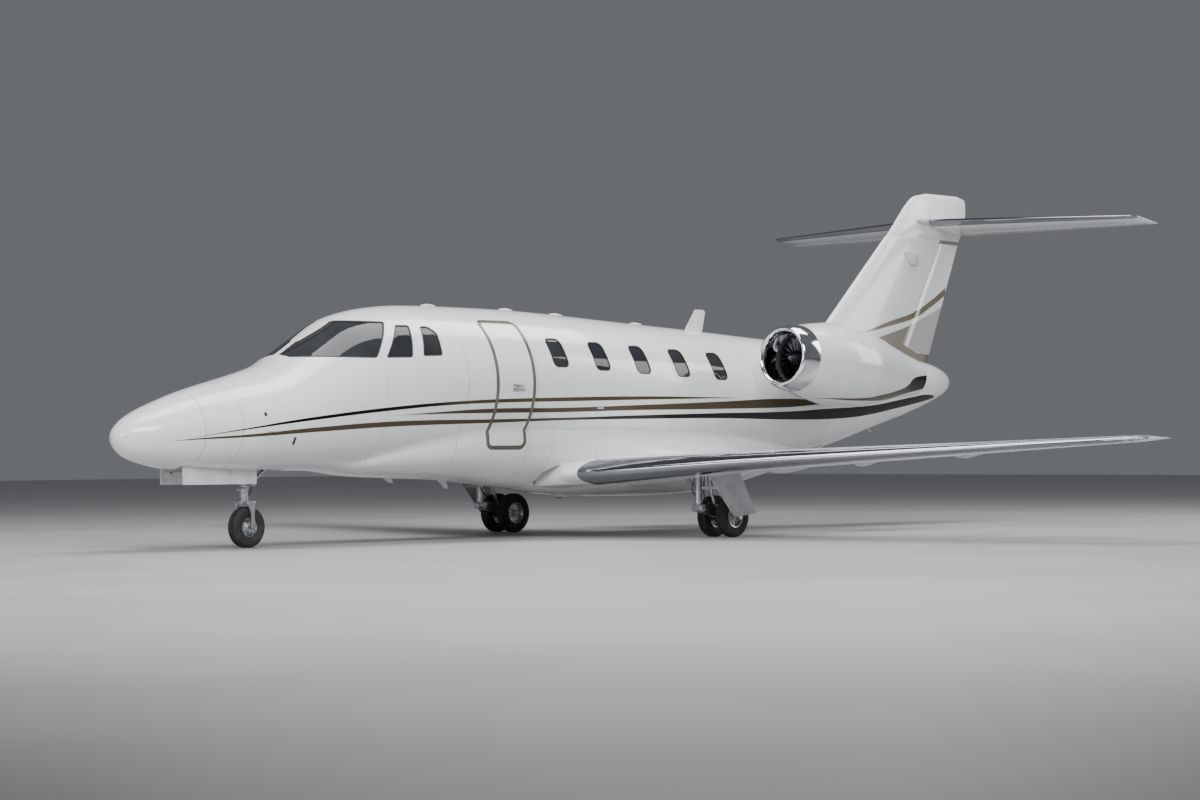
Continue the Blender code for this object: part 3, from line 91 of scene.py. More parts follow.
class Finish:
    """A Principled finish, with short calls for the nodes that feed it."""

    def __init__(self, name, colour, roughness, metallic=0.0, **sockets):
        self.material = bpy.data.materials.new(name)
        self.material.use_nodes = True
        self.tree = self.material.node_tree
        self.shader = self.tree.nodes["Principled BSDF"]
        self.shader.inputs["Base Color"].default_value = (*colour, 1.0)
        self.shader.inputs["Roughness"].default_value = roughness
        self.shader.inputs["Metallic"].default_value = metallic
        for label, value in sockets.items():
            self.shader.inputs[label.replace("_", " ")].default_value = value
        place = self.tree.nodes.new("ShaderNodeTexCoord")
        self.place = place.outputs["Object"]
        split = self.node("ShaderNodeSeparateXYZ", self.place)
        self.x, self.y, self.z = split.outputs

    def node(self, kind, *inputs, **settings):
        node = self.tree.nodes.new(kind)
        for label, value in settings.items():
            setattr(node, label, value)
        for socket, value in zip(node.inputs, inputs):
            if isinstance(value, bpy.types.NodeSocket):
                self.tree.links.new(value, socket)
            elif value is not None:
                socket.default_value = value
        return node

    def math(self, operation, *inputs, clamp=False):
        return self.node("ShaderNodeMath", *inputs, operation=operation, use_clamp=clamp).outputs[0]

    def mix(self, factor, first, second):
        node = self.node("ShaderNodeMix", data_type="RGBA")
        for index, value in ((0, factor), (6, first), (7, second)):
            if isinstance(value, bpy.types.NodeSocket):
                self.tree.links.new(value, node.inputs[index])
            else:
                node.inputs[index].default_value = (*value, 1.0) if index else value
        return node.outputs[2]

    def noise(self, scale, detail=3.0, stretch=None):
        place = self.place
        if stretch:
            place = self.node("ShaderNodeMapping", place, None, None, stretch).outputs[0]
        return self.node("ShaderNodeTexNoise", place, None, scale, detail).outputs[0]

    def within(self, value, middle, half, edge=PAINT_EDGE):
        """1 where value is within half of the middle, and 0 outside, over a soft edge."""
        off = self.math("ABSOLUTE", self.math("SUBTRACT", value, middle))
        return self.math(
            "MULTIPLY_ADD", self.math("SUBTRACT", half, off), 1 / edge, 0.5, clamp=True
        )

    def span(self, value, low, high):
        """0 at low and 1 at high, eased between them."""
        eased_over = self.node(
            "ShaderNodeMapRange", value, low, high, interpolation_type="SMOOTHSTEP"
        )
        return eased_over.outputs[0]

    def curve(self, along, points, low, high):
        """A drawn curve: the height of each (place, height) point, joined smoothly."""
        start, length = CURVE_START, CURVE_END - CURVE_START
        share = self.math("MULTIPLY_ADD", along, 1 / length, -start / length)
        node = self.node("ShaderNodeFloatCurve", 1.0, share)
        line = node.mapping.curves[0]
        places = sorted(((x - start) / length, (y - low) / (high - low)) for x, y in points)
        for _ in places[2:]:
            line.points.new(0.5, 0.5)
        for point, (x, y) in zip(line.points, places):
            point.location = (x, y)
        node.mapping.update()
        return self.math("MULTIPLY_ADD", node.outputs[0], high - low, low)

    def colour(self, socket):
        self.tree.links.new(socket, self.shader.inputs["Base Color"])

    def roughness(self, socket):
        self.tree.links.new(socket, self.shader.inputs["Roughness"])

    def dull_where(self, mask, coat=0.6, specular=0.5, left=0.2):
        """Less shine where the mask is 1, as pigment stripes lie over the clear coat."""
        for label, full in (("Coat Weight", coat), ("Specular IOR Level", specular)):
            shine = self.math("MULTIPLY_ADD", mask, full * (left - 1), full)
            self.tree.links.new(shine, self.shader.inputs[label])

    def bump(self, height, distance, strength=1.0):
        """Adds one more layer of relief over those already there."""
        under = [link.from_socket for link in self.shader.inputs["Normal"].links]
        node = self.node("ShaderNodeBump", strength, distance, None, height, *under)
        self.tree.links.new(node.outputs[0], self.shader.inputs["Normal"])

# %% [markdown]
# ## White enamel with its stripes
# The real paint is a glossy white two-pack enamel with olive and black pinstripes that start at
# the nose, spread past the door and sweep up into the tail. Decal meshes could carry them, but
# each stripe here is two drawn curves, its lower and upper edge as heights along the aircraft,
# so its edges stay sharp at any distance and follow every skin they cross.

# %% Stripe drawings: (place along the aircraft, lower edge, upper edge)
WHITE = (0.80, 0.81, 0.815)
OLIVE = (0.064, 0.050, 0.028)
BLACK = (0.002, 0.002, 0.0025)
UPPER_STRIPE = [(7.90, 1.295, 1.295), (7.478, 1.358, 1.368), (7.005, 1.424, 1.444),
                (5.978, 1.552, 1.594), (4.742, 1.676, 1.724), (3.908, 1.738, 1.784),
                (3.121, 1.773, 1.823), (1.931, 1.800, 1.856), (0.396, 1.834, 1.885),
                (-1.163, 1.866, 1.884), (-1.90, 1.882, 1.880)]
MIDDLE_STRIPE = [(4.95, 1.598, 1.596), (4.223, 1.622, 1.646), (3.084, 1.644, 1.706),
                 (1.89, 1.659, 1.722), (0.367, 1.695, 1.769), (-1.164, 1.718, 1.822),
                 (-2.854, 1.756, 1.880), (-3.40, 1.790, 1.868), (-4.05, 1.850, 1.845)]
LOWER_STRIPE = [(8.02, 1.288, 1.286), (7.487, 1.317, 1.341), (6.995, 1.337, 1.373),
                (5.959, 1.403, 1.464), (4.689, 1.471, 1.541), (3.022, 1.519, 1.569),
                (1.836, 1.554, 1.592), (0.324, 1.578, 1.632), (-1.214, 1.592, 1.666),
                (-2.882, 1.579, 1.700), (-3.712, 1.585, 1.740), (-4.584, 1.619, 1.776),
                (-5.128, 1.666, 1.806), (-5.742, 1.738, 1.872), (-6.381, 1.819, 1.945),
                (-6.90, 1.890, 1.985), (-7.20, 1.940, 1.935)]
HULL_HEIGHTS, NACELLE_HEIGHTS, FIN_HEIGHTS = (1.0, 2.2), (1.7, 2.5), (2.2, 3.8)
NACELLE_STRIPE = [(-2.30, 1.868, 1.866), (-2.50, 1.862, 1.871), (-3.03, 1.836, 1.871),
                  (-3.58, 1.838, 1.920), (-3.81, 1.846, 1.953), (-4.26, 1.925, 2.050),
                  (-4.35, 1.942, 2.140), (-4.53, 1.975, 2.197), (-4.95, 2.050, 2.230)]
FIN_STRIPE = [(-5.40, 2.860, 2.875), (-6.20, 3.022, 3.098), (-6.85, 3.150, 3.250),
              (-7.35, 3.341, 3.450), (-7.80, 3.552, 3.675)]
FIN_PATCH = [(-5.80, 2.30, 2.820), (-6.31, 2.30, 2.939), (-6.73, 2.30, 3.043),
             (-7.21, 2.30, 3.197), (-7.70, 2.30, 3.372)]


def stripe(finish, edges, heights):
    """Full between the lower and the upper drawn edge, and nothing outside their ends."""
    bottom = finish.curve(finish.x, [(x, z) for x, z, _ in edges], *heights)
    top = finish.curve(finish.x, [(x, z) for x, _, z in edges], *heights)
    over = finish.math(
        "MULTIPLY_ADD", finish.math("SUBTRACT", finish.z, bottom), 1 / STRIPE_EDGE, 0.0, clamp=True
    )
    under = finish.math(
        "MULTIPLY_ADD", finish.math("SUBTRACT", top, finish.z), 1 / STRIPE_EDGE, 0.0, clamp=True
    )
    inside = finish.math("MULTIPLY", over, under)
    ends = finish.math("MULTIPLY", finish.math("GREATER_THAN", edges[0][0], finish.x),
                       finish.math("GREATER_THAN", finish.x, edges[-1][0]))
    return finish.math("MULTIPLY", inside, ends)


def enamel(name):
    """White paint: two close whites in soft clouds, a thin clear coat and a fine orange peel."""
    finish = Finish(name, WHITE, 0.22, Coat_Weight=0.6, Coat_Roughness=0.06)
    clouds = finish.span(finish.noise(1.3, 4.0), 0.3, 0.7)
    shade = tuple(value * 0.965 for value in WHITE)
    finish.base = finish.mix(clouds, shade, WHITE)
    finish.roughness(finish.math("MULTIPLY_ADD", finish.noise(6.0, 5.0), 0.10, 0.17))
    finish.bump(finish.noise(260.0, 2.0), 0.0004, 0.06)
    return finish


JOINT_SHADE, JOINT_HALF = (0.30, 0.30, 0.30), 0.0018
RIVET_HALF, RIVET_OFF, RIVET_PITCH = 0.0022, 0.025, 0.030


def panel_lines(finish, masks):
    """Darkens the base along thin joints and sinks them a little."""
    joint = masks[0]
    for mask in masks[1:]:
        joint = finish.math("MAXIMUM", joint, mask)
    finish.base = finish.mix(finish.math("MULTIPLY", joint, 0.75), finish.base, JOINT_SHADE)
    finish.bump(finish.math("SUBTRACT", 1.0, joint), 0.002, 0.6)


# %% Fuselage paint
HULL_JOINTS = (7.480, 7.005, 4.93, 3.60, 2.36, -0.35, -2.10, -3.90, -5.25, -6.55, -7.22)
hull_paint = enamel("hull_enamel")
joints = [hull_paint.within(hull_paint.x, place, 0.0036) for place in HULL_JOINTS]
below_belt = hull_paint.math("LESS_THAN", hull_paint.z, 1.95)
side_joint = hull_paint.math("MULTIPLY", hull_paint.within(hull_paint.z, 2.02, 0.0015), below_belt)
panel_lines(hull_paint, joints + [side_joint])
# Painted shade: the lower hull darkens towards the belly in stretched noisy patches, standing for
# the shade under the fuselage together with some grime.
belly_shade = hull_paint.span(hull_paint.z, 1.25, 0.75)
belly_shade_and_grime = hull_paint.math("MULTIPLY", belly_shade, hull_paint.noise(2.6, 5.0, (0.4, 1.0, 1.0)))
hull_paint.base = hull_paint.mix(
    hull_paint.math("MULTIPLY", belly_shade_and_grime, 0.25), hull_paint.base, (0.42, 0.42, 0.42)
)
upper, middle, lower = (stripe(hull_paint, edges, HULL_HEIGHTS)
                        for edges in (UPPER_STRIPE, MIDDLE_STRIPE, LOWER_STRIPE))
upper_tone = hull_paint.mix(hull_paint.span(hull_paint.x, 3.5, 4.4), OLIVE, BLACK)
lower_tone = hull_paint.mix(hull_paint.span(hull_paint.x, 1.9, 0.9), OLIVE, BLACK)
painted = hull_paint.mix(upper, hull_paint.base, upper_tone)
painted = hull_paint.mix(middle, painted, OLIVE)
hull_paint.dull_where(hull_paint.math("MAXIMUM", upper, hull_paint.math("MAXIMUM", middle, lower)))
hull_paint.colour(hull_paint.mix(lower, painted, lower_tone))
print("fuselage paint has", len(hull_paint.tree.nodes), "nodes")

# %% [markdown]
# ## Polished metal, glass, rubber and the rest
# Bare leading edges and inlet lips are polished aluminium, which shows faint draw lines and
# shallow dents. Windows are dark because the cabin behind them is unlit, so a dark tinted glass
# with a clean coat stands for the stretched acrylic. Rubber, leather and carpet each get the
# grain that their real surface has at its real size.

# %% Metals
def metal(name, colour, roughness, spread, grain, stretch, depth):
    """Metal with a grain that is long one way, and roughness that varies with it."""
    finish = Finish(name, colour, roughness, 1.0)
    lines = finish.noise(grain, 6.0, stretch)
    finish.roughness(finish.math("MULTIPLY_ADD", lines, spread, roughness - spread / 2))
    dull = tuple(value * 0.86 for value in colour)
    finish.colour(finish.mix(finish.span(lines, 0.35, 0.65), dull, colour))
    if depth:
        finish.bump(lines, depth, 0.25)
    return finish


# The polished metal's colour is kept far darker than bare aluminium: painted dark reflection, so
# that leading edges show dark bands beside the lamps' bright lines.
polished = metal("polished_aluminium", (0.32, 0.33, 0.36), 0.09, 0.04, 3.0, (1.0, 0.15, 1.0), 0.0)
lip_polish = metal("polished_inlet", (0.80, 0.81, 0.83), 0.09, 0.05, 5.0, (6.0, 1.0, 1.0), 0.0004)
steel = metal("gear_steel", (0.56, 0.57, 0.59), 0.34, 0.14, 24.0, (1.0, 1.0, 4.0), 0.0006)
chrome_rod = metal("strut_chrome", (0.85, 0.86, 0.88), 0.08, 0.04, 40.0, (1.0, 1.0, 0.2), 0.0001)
dark_metal = metal("fan_titanium", (0.16, 0.16, 0.17), 0.30, 0.16, 30.0, (1.0, 1.0, 1.0), 0.0004)
hot_metal = metal("exhaust_metal", (0.27, 0.25, 0.23), 0.36, 0.14, 12.0, (0.2, 1.0, 1.0), 0.0006)
for finish in (polished, lip_polish, steel, chrome_rod, dark_metal, hot_metal):
    print("metal:", finish.material.name)


# %% Paint for the gear, and dark trims
def satin(name, colour, roughness, grain=40.0, depth=0.0005, metallic=0.0):
    """A painted or moulded surface with worn, uneven sheen and a fine texture."""
    finish = Finish(name, colour, roughness, metallic)
    wear = finish.noise(grain / 8, 5.0)
    dull = tuple(value * 0.80 for value in colour)
    finish.base = finish.mix(finish.span(wear, 0.35, 0.65), dull, colour)
    finish.colour(finish.base)
    finish.roughness(finish.math("MULTIPLY_ADD", wear, 0.2, roughness - 0.1))
    finish.bump(finish.noise(grain * 10, 3.0), depth, 0.3)
    return finish


gear_white = satin("gear_white_enamel", (0.66, 0.67, 0.68), 0.36)
door_grey = satin("gear_door_grey", (0.50, 0.51, 0.53), 0.32)
seal_black = satin("window_seal", (0.015, 0.015, 0.017), 0.55, 60.0)
surround = satin("door_surround_taupe", (0.105, 0.095, 0.070), 0.30, 30.0)
hose_black = satin("hydraulic_hose", (0.02, 0.02, 0.022), 0.5, 80.0)
panel_black = satin("panel_plastic", (0.03, 0.03, 0.033), 0.6, 60.0)
trim_beige = satin("cabin_trim", (0.42, 0.37, 0.29), 0.6, 20.0)

rubber = Finish("tyre_rubber", (0.018, 0.018, 0.019), 0.78)
dust = rubber.span(rubber.noise(9.0, 6.0), 0.45, 0.75)
rubber.colour(
    rubber.mix(rubber.math("MULTIPLY", dust, 0.5), (0.016, 0.016, 0.017), (0.06, 0.057, 0.052))
)
rubber.bump(rubber.noise(320.0, 4.0), 0.0008, 0.4)

glass = Finish("tinted_acrylic", (0.020, 0.022, 0.025), 0.04, Specular_IOR_Level=0.22,
               Transmission_Weight=0.45)
fade = glass.span(glass.noise(1.2, 2.0), 0.3, 0.7)
glass.roughness(glass.math("MULTIPLY_ADD", glass.noise(30.0, 4.0), 0.03, 0.02))
glass.colour(glass.mix(fade, (0.030, 0.033, 0.038), (0.055, 0.060, 0.066)))

lens_clear = Finish("lamp_lens", (0.86, 0.88, 0.90), 0.06, Transmission_Weight=0.7, Coat_Weight=1.0)
lens_clear.roughness(lens_clear.math("MULTIPLY_ADD", lens_clear.noise(90.0, 3.0), 0.05, 0.04))

leather = Finish("tan_leather", (0.50, 0.40, 0.28), 0.5)
hide = leather.node("ShaderNodeTexVoronoi", leather.place, None, 420.0).outputs[0]
leather.colour(
    leather.mix(
        leather.span(leather.noise(7.0, 5.0), 0.3, 0.7), (0.42, 0.33, 0.22), (0.55, 0.45, 0.32)
    )
)
leather.roughness(leather.math("MULTIPLY_ADD", leather.noise(18.0, 4.0), 0.2, 0.4))
leather.bump(hide, 0.0012, 0.5)

carpet = Finish("carpet_pile", (0.30, 0.26, 0.22), 0.95, Sheen_Weight=0.4)
pile = carpet.noise(600.0, 3.0)
carpet.colour(carpet.mix(pile, (0.20, 0.17, 0.14), (0.38, 0.33, 0.28)))
carpet.bump(pile, 0.004, 0.8)
print("finishes so far:", len(bpy.data.materials))

# %% [markdown]
# ## Tools for skins
# A fuselage or a wing is drawn as sections along its length. Sections could be joined one by one,
# but a flat grid with one row for each section is quicker: every point of the grid moves to its
# place on the skin, the seam is welded and the ends are filled. Openings are then cut with
# Booleans, as a real skin is cut on its jig.

# %% Lofting a skin from a grid
WELD = 1e-5


def lofted(rings, closed=False, caps=True):
    """A skin over rings of points. When closed, the last ring joins the first."""
    rows = list(rings) + ([rings[0]] if closed else [])
    around = len(rows[0])
    bm = bmesh.new()
    bmesh.ops.create_grid(bm, x_segments=len(rows) - 1, y_segments=around, size=0.5)
    for vert in bm.verts:
        row = round((vert.co.x + 0.5) * (len(rows) - 1))
        vert.co = rows[row][round((vert.co.y + 0.5) * around) % around]
    bmesh.ops.remove_doubles(bm, verts=bm.verts[:], dist=WELD)
    if caps:
        bmesh.ops.holes_fill(bm, edges=bm.edges[:], sides=0)
    bmesh.ops.recalc_face_normals(bm, faces=bm.faces[:])
    return bm


def smooth_row(rows, place):
    """The row at a place between drawn rows, eased so that no corner shows between them."""
    rows = sorted(rows, key=lambda row: row[0])
    place = min(max(place, rows[0][0]), rows[-1][0])
    index = next(i for i in range(1, len(rows)) if place <= rows[i][0]) - 1

    def rise(i, column):
        return (rows[i + 1][column] - rows[i][column]) / (rows[i + 1][0] - rows[i][0])

    def slope(i, column):
        if i == 0 or i == len(rows) - 1:
            return rise(min(i, len(rows) - 2), column)
        before, after = rise(i - 1, column), rise(i, column)
        return 0.0 if before * after <= 0 else 2 * before * after / (before + after)

    width = rows[index + 1][0] - rows[index][0]
    t = (place - rows[index][0]) / width
    values = [place]
    for column in range(1, len(rows[0])):
        first, last = rows[index][column], rows[index + 1][column]
        values.append(
            first * (2 * t**3 - 3 * t**2 + 1) + last * (3 * t**2 - 2 * t**3)
            + slope(index, column) * width * (t**3 - 2 * t**2 + t)
            + slope(index + 1, column) * width * (t**3 - t**2)
        )
    return values


def bezier(bend, t):
    """The point at t on a cubic curve with four control points."""
    return ((1 - t) ** 3 * bend[0] + 3 * (1 - t) ** 2 * t * bend[1]
            + 3 * (1 - t) * t**2 * bend[2] + t**3 * bend[3])


# %% Blocks, bars and turned shapes
def bevelled(bm, edges, corner, segments=3, profile=0.5, clamp=True):
    """The shape with its edges rounded off."""
    bmesh.ops.bevel(bm, geom=edges, offset=corner, offset_type="OFFSET", affect="EDGES",
                    segments=segments, profile=profile, material=-1, clamp_overlap=clamp)
    return bm


def placed(bm, matrix):
    """The shape moved to its place."""
    bmesh.ops.transform(bm, matrix=matrix, verts=bm.verts[:])
    return bm


def facing_along(run, axis="Z"):
    """The turn that points an axis along a direction."""
    return Vector(run).to_track_quat(axis, "Y").to_matrix().to_4x4()


def prism(outline, axis, low, high, corner=0.0, segments=8):
    """An outline in the other two axes, extruded along one, its long edges rounded."""
    index = "XYZ".index(axis)
    bm = bmesh.new()
    places = []
    for point in outline:
        spot = list(point)
        spot.insert(index, low)
        places.append(bm.verts.new(spot))
    grown = bmesh.ops.extrude_face_region(bm, geom=[bm.faces.new(places)])
    shift = Vector((0, 0, 0))
    shift[index] = high - low
    bmesh.ops.translate(
        bm, verts=[g for g in grown["geom"] if isinstance(g, bmesh.types.BMVert)], vec=shift)
    if corner:
        edges = [e for e in bm.edges if abs(e.verts[0].co[index] - e.verts[1].co[index]) > 1e-6]
        bevelled(bm, edges, corner, segments)
    bmesh.ops.recalc_face_normals(bm, faces=bm.faces[:])
    return bm


def rectangle(a, b):
    """Its four corners, between two values of each axis."""
    return [(a[0], b[0]), (a[1], b[0]), (a[1], b[1]), (a[0], b[1])]


def block(x, y, z, corner=0.0):
    """A box between two values of each axis, all its edges rounded."""
    bm = prism(rectangle(x, y), "Z", *z)
    return bevelled(bm, bm.edges[:], corner) if corner else bm


def rod(start, end, radius, tip=None, sides=24, rounded=0.0):
    """A round bar between two points, thinner at its tip if a radius is given for it."""
    start, end = Vector(start), Vector(end)
    run = end - start
    bm = bmesh.new()
    bmesh.ops.create_cone(bm, cap_ends=True, segments=sides, radius1=radius,
                          radius2=radius if tip is None else tip, depth=run.length)
    if rounded:
        rims = [e for e in bm.edges if any(len(f.verts) > 4 for f in e.link_faces)]
        bevelled(bm, rims, rounded, clamp=False)
    return placed(bm, Matrix.Translation((start + end) / 2) @ facing_along(run))


def pin(x, y, z, half, radius, **shape):
    """A bar across the aircraft, reaching half to each side of its middle."""
    return rod((x, y - half, z), (x, y + half, z), radius, **shape)


def spun(profile, place, steps=64, ring=False):
    """A lathe shape about the local Z of its place, from (radius, height) points."""
    bm = bmesh.new()
    verts = [bm.verts.new((radius, 0, height)) for radius, height in profile]
    edges = [bm.edges.new(pair) for pair in zip(verts, verts[1:])]
    if ring:
        edges.append(bm.edges.new((verts[-1], verts[0])))
    bmesh.ops.spin(bm, geom=verts + edges, cent=(0, 0, 0), axis=(0, 0, 1), angle=math.tau,
                   steps=steps, use_merge=True)
    bmesh.ops.remove_doubles(bm, verts=bm.verts[:], dist=WELD)
    placed(bm, place)
    bmesh.ops.recalc_face_normals(bm, faces=bm.faces[:])
    return bm


def together(*meshes):
    """Several bmeshes as one."""
    whole = bmesh.new()
    for bm in meshes:
        mesh = bpy.data.meshes.new("part")
        bm.to_mesh(mesh)
        bm.free()
        whole.from_mesh(mesh)
        bpy.data.meshes.remove(mesh)
    return whole


def mirrored(bm, side):
    """The same shape on the other side of the aircraft when side is -1."""
    if side < 0:
        bmesh.ops.scale(bm, verts=bm.verts[:], vec=(1, -1, 1))
        bmesh.ops.recalc_face_normals(bm, faces=bm.faces[:])
    return bm


# %% Making pieces and cutting them
def as_object(name, bm):
    mesh = bpy.data.meshes.new(name)
    bm.to_mesh(mesh)
    bm.free()
    obj = bpy.data.objects.new(name, mesh)
    bpy.context.scene.collection.objects.link(obj)
    return obj


def cut(bm, *steps):
    """The shape after each (operation, tool) Boolean. The tools are used up."""
    obj = as_object("blank", bm)
    tools = []
    for operation, tool in steps:
        tools.append(as_object("tool", tool))
        change = obj.modifiers.new(operation, "BOOLEAN")
        change.operation = operation
        change.object = tools[-1]
        change.solver = "EXACT"
    graph = bpy.context.evaluated_depsgraph_get()
    mesh = bpy.data.meshes.new_from_object(obj.evaluated_get(graph), depsgraph=graph)
    result = bmesh.new()
    result.from_mesh(mesh)
    for thing in (obj, *tools):
        old = thing.data
        bpy.data.objects.remove(thing)
        bpy.data.meshes.remove(old)
    bpy.data.meshes.remove(mesh)
    return result


MASTER_REACH, MASTER_AGREE = 0.006, 0.85


def like_master(mesh, master):
    """Gives loops on the uncut skin that skin's own smooth normals, so cuts leave no shadows."""
    tree = BVHTree.FromBMesh(master)
    master.faces.ensure_lookup_table()
    normals = [Vector((0, 0, 0))] * len(mesh.loops)
    found = {}
    for face in mesh.polygons:
        place, normal, _, _ = tree.find_nearest(face.center, MASTER_REACH)
        if place is None or normal.dot(face.normal) < MASTER_AGREE:
            continue
        for loop in face.loop_indices:
            vert = mesh.loops[loop].vertex_index
            if vert not in found:
                spot, _, near, _ = tree.find_nearest(mesh.vertices[vert].co)
                corners = master.faces[near].verts[:]
                shares = interpolate.poly_3d_calc([v.co for v in corners], spot)
                mixed = Vector((0, 0, 0))
                for share, corner in zip(shares, corners):
                    mixed += corner.normal * share
                found[vert] = mixed.normalized()
            normals[loop] = found[vert]
    mesh.normals_split_custom_set(normals)


pieces = []


def piece(name, bm, finish, body="airframe", nodes=(), sharp=35, master=None):
    """One finished piece: smooth, riding on its body, and standing for its CAD nodes."""
    bmesh.ops.remove_doubles(bm, verts=bm.verts[:], dist=WELD)
    obj = as_object(name, bm)
    mesh = obj.data
    mesh.shade_smooth()
    mesh.set_sharp_from_angle(angle=math.radians(sharp))
    if master is not None:
        like_master(mesh, master)
    finishes = finish if isinstance(finish, (list, tuple)) else [finish]
    for each in finishes:
        mesh.materials.append(each.material)
    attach(obj, body)
    if nodes:
        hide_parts(*nodes)
    pieces.append(obj)
    return obj


def count_of(*words):
    """How many pieces have one of the words in their name."""
    return sum(any(word in p.name for word in words) for p in pieces)


print("tools ready")

# %% [markdown]
# ## Fuselage skin
# The hull is a round tube that droops to the nose and sweeps up to the tail. From under the
# cockpit a keel swells out of it below a soft crease, ahead of the wing. One table of sections
# gives the whole shape. It could be sculpted, but sections keep it on the CAD's own sizes.

# %% Hull sections
Hull = namedtuple("Hull", "x top bottom half widest crease keel swell")
HULL = [
    (8.450, 1.360, 1.340, 0.012, 1.350, 1.343, 1.340, 0.0),
    (8.430, 1.415, 1.275, 0.085, 1.350, 1.300, 1.275, 0.0),
    (8.370, 1.490, 1.190, 0.165, 1.350, 1.240, 1.190, 0.0),
    (8.240, 1.590, 1.100, 0.265, 1.355, 1.180, 1.100, 0.0),
    (8.000, 1.705, 1.025, 0.370, 1.365, 1.130, 1.025, 0.0),
    (7.740, 1.800, 0.975, 0.450, 1.380, 1.100, 0.975, 0.0),
    (7.470, 1.890, 0.955, 0.525, 1.400, 1.090, 0.955, 0.0),
    (7.100, 1.990, 0.940, 0.620, 1.430, 1.080, 0.940, 0.0),
    (6.700, 2.090, 0.930, 0.710, 1.470, 1.080, 0.930, 0.0),
    (6.300, 2.200, 0.930, 0.780, 1.520, 1.080, 0.930, 0.0),
    (6.120, 2.265, 0.930, 0.805, 1.550, 1.075, 0.930, 0.0),
    (5.950, 2.360, 0.930, 0.830, 1.590, 1.070, 0.928, 0.0),
    (5.550, 2.600, 0.935, 0.880, 1.680, 1.050, 0.915, 0.3),
    (5.100, 2.840, 0.940, 0.925, 1.780, 1.040, 0.875, 0.8),
    (4.850, 2.915, 0.950, 0.945, 1.830, 1.100, 0.855, 1.0),
    (4.500, 2.980, 0.960, 0.965, 1.890, 1.170, 0.835, 1.0),
    (4.000, 3.025, 0.990, 0.985, 1.960, 1.265, 0.815, 1.0),
    (3.500, 3.035, 1.010, 0.998, 2.000, 1.350, 0.800, 1.0),
    (3.000, 3.035, 1.030, 1.000, 2.020, 1.415, 0.770, 1.0),
    (2.400, 3.030, 1.040, 1.000, 2.020, 1.430, 0.705, 1.0),
    (1.900, 3.020, 1.050, 1.000, 2.010, 1.430, 0.655, 1.0),
    (0.000, 2.930, 1.050, 1.000, 1.930, 1.420, 0.540, 1.0),
    (-1.900, 2.835, 1.020, 0.970, 1.860, 1.350, 0.580, 1.0),
    (-2.700, 2.790, 0.995, 0.935, 1.845, 1.270, 0.700, 1.0),
    (-3.300, 2.755, 0.985, 0.900, 1.850, 1.210, 0.850, 1.0),
    (-4.000, 2.715, 1.075, 0.825, 1.885, 1.180, 1.060, 0.5),
    (-4.700, 2.675, 1.215, 0.735, 1.935, 1.400, 1.215, 0.0),
    (-5.700, 2.615, 1.460, 0.580, 2.025, 1.620, 1.460, 0.0),
    (-6.700, 2.550, 1.700, 0.420, 2.115, 1.820, 1.700, 0.0),
    (-7.300, 2.470, 1.875, 0.300, 2.165, 1.960, 1.875, 0.0),
    (-7.600, 2.380, 1.985, 0.205, 2.180, 2.040, 1.985, 0.0),
    (-7.740, 2.300, 2.065, 0.120, 2.180, 2.100, 2.065, 0.0),
    (-7.790, 2.215, 2.140, 0.035, 2.178, 2.155, 2.140, 0.0),
]
NOSE_X, TAIL_X = HULL[0][0], HULL[-1][0]
RADOME_SEAM, COCKPIT_SEAM, FAIRING_SEAM, TAIL_SEAM = 7.470, 5.950, 1.900, -2.900
WALL, SEAM, TOUCH = 0.060, 0.0012, 0.0004
ROUND_STEPS, KEEL_STEPS = 26, 12
KEEL_SHOULDER = 0.09
TIP_STATIONS = (8.447, 8.440, 8.428, 8.41, 8.39, 8.365, 8.33, 8.29, 8.24, 8.18, 8.11, 8.03,
                -7.50, -7.58, -7.65, -7.70, -7.735, -7.76, -7.778)
STATIONS = sorted({*TIP_STATIONS, *(round(7.94 - 0.1 * i, 3) for i in range(154))}, reverse=True)


def hull_ring(x, inset=0.0, keel=True):
    """Points round the hull at x, from the top down the port side and up the other."""
    row = Hull(*smooth_row(HULL, x))
    half = row.half - inset
    rise, fall = row.top - inset - row.widest, row.widest - row.bottom - inset
    low = -math.asin(min(0.98, (row.widest - row.crease) / (row.widest - row.bottom)))
    angles = [math.pi / 2 + (low - math.pi / 2) * i / ROUND_STEPS for i in range(ROUND_STEPS)]
    angles += [low + (-math.pi / 2 - low) * i / KEEL_STEPS for i in range(KEEL_STEPS + 1)]
    side = [Vector((half * math.cos(a), row.widest + (rise if a > 0 else fall) * math.sin(a)))
            for a in angles]
    if keel and row.swell > 0:
        corner = side[ROUND_STEPS].copy()
        bend = (
            corner,
            Vector((corner.x + KEEL_SHOULDER * row.swell, corner.y - 0.45 * (corner.y - row.keel))),
            Vector((0.75 * corner.x, row.keel)),
            Vector((0, row.keel)),
        )
        for i in range(KEEL_STEPS + 1):
            side[ROUND_STEPS + i] = side[ROUND_STEPS + i].lerp(
                bezier(bend, i / KEEL_STEPS), row.swell
            )
    points = [(x, p.x, p.y) for p in side]
    return [Vector(p) for p in points + [(x, -y, z) for _, y, z in reversed(points[1:-1])]]


def stations(front, rear):
    return [front, *(x for x in STATIONS if rear + 0.004 < x < front - 0.004), rear]


def hull(front, rear, inset=0.0, keel=True, caps=True):
    return lofted([hull_ring(x, inset, keel) for x in stations(front, rear)], caps=caps)


def layer(depths, front, rear, keel=True):
    """The part of the wall between two depths, as a closed band."""
    outer = [hull_ring(x, depths[0], keel) for x in stations(front, rear)]
    inner = [hull_ring(x, depths[1], False) for x in reversed(stations(front, rear))]
    return lofted(outer + inner, closed=True)


front_master = hull(NOSE_X, FAIRING_SEAM, caps=False)
rear_master = hull(FAIRING_SEAM, TAIL_X, keel=False, caps=False)
print("hull stations:", len(STATIONS), "points round:", 2 * (ROUND_STEPS + KEEL_STEPS))

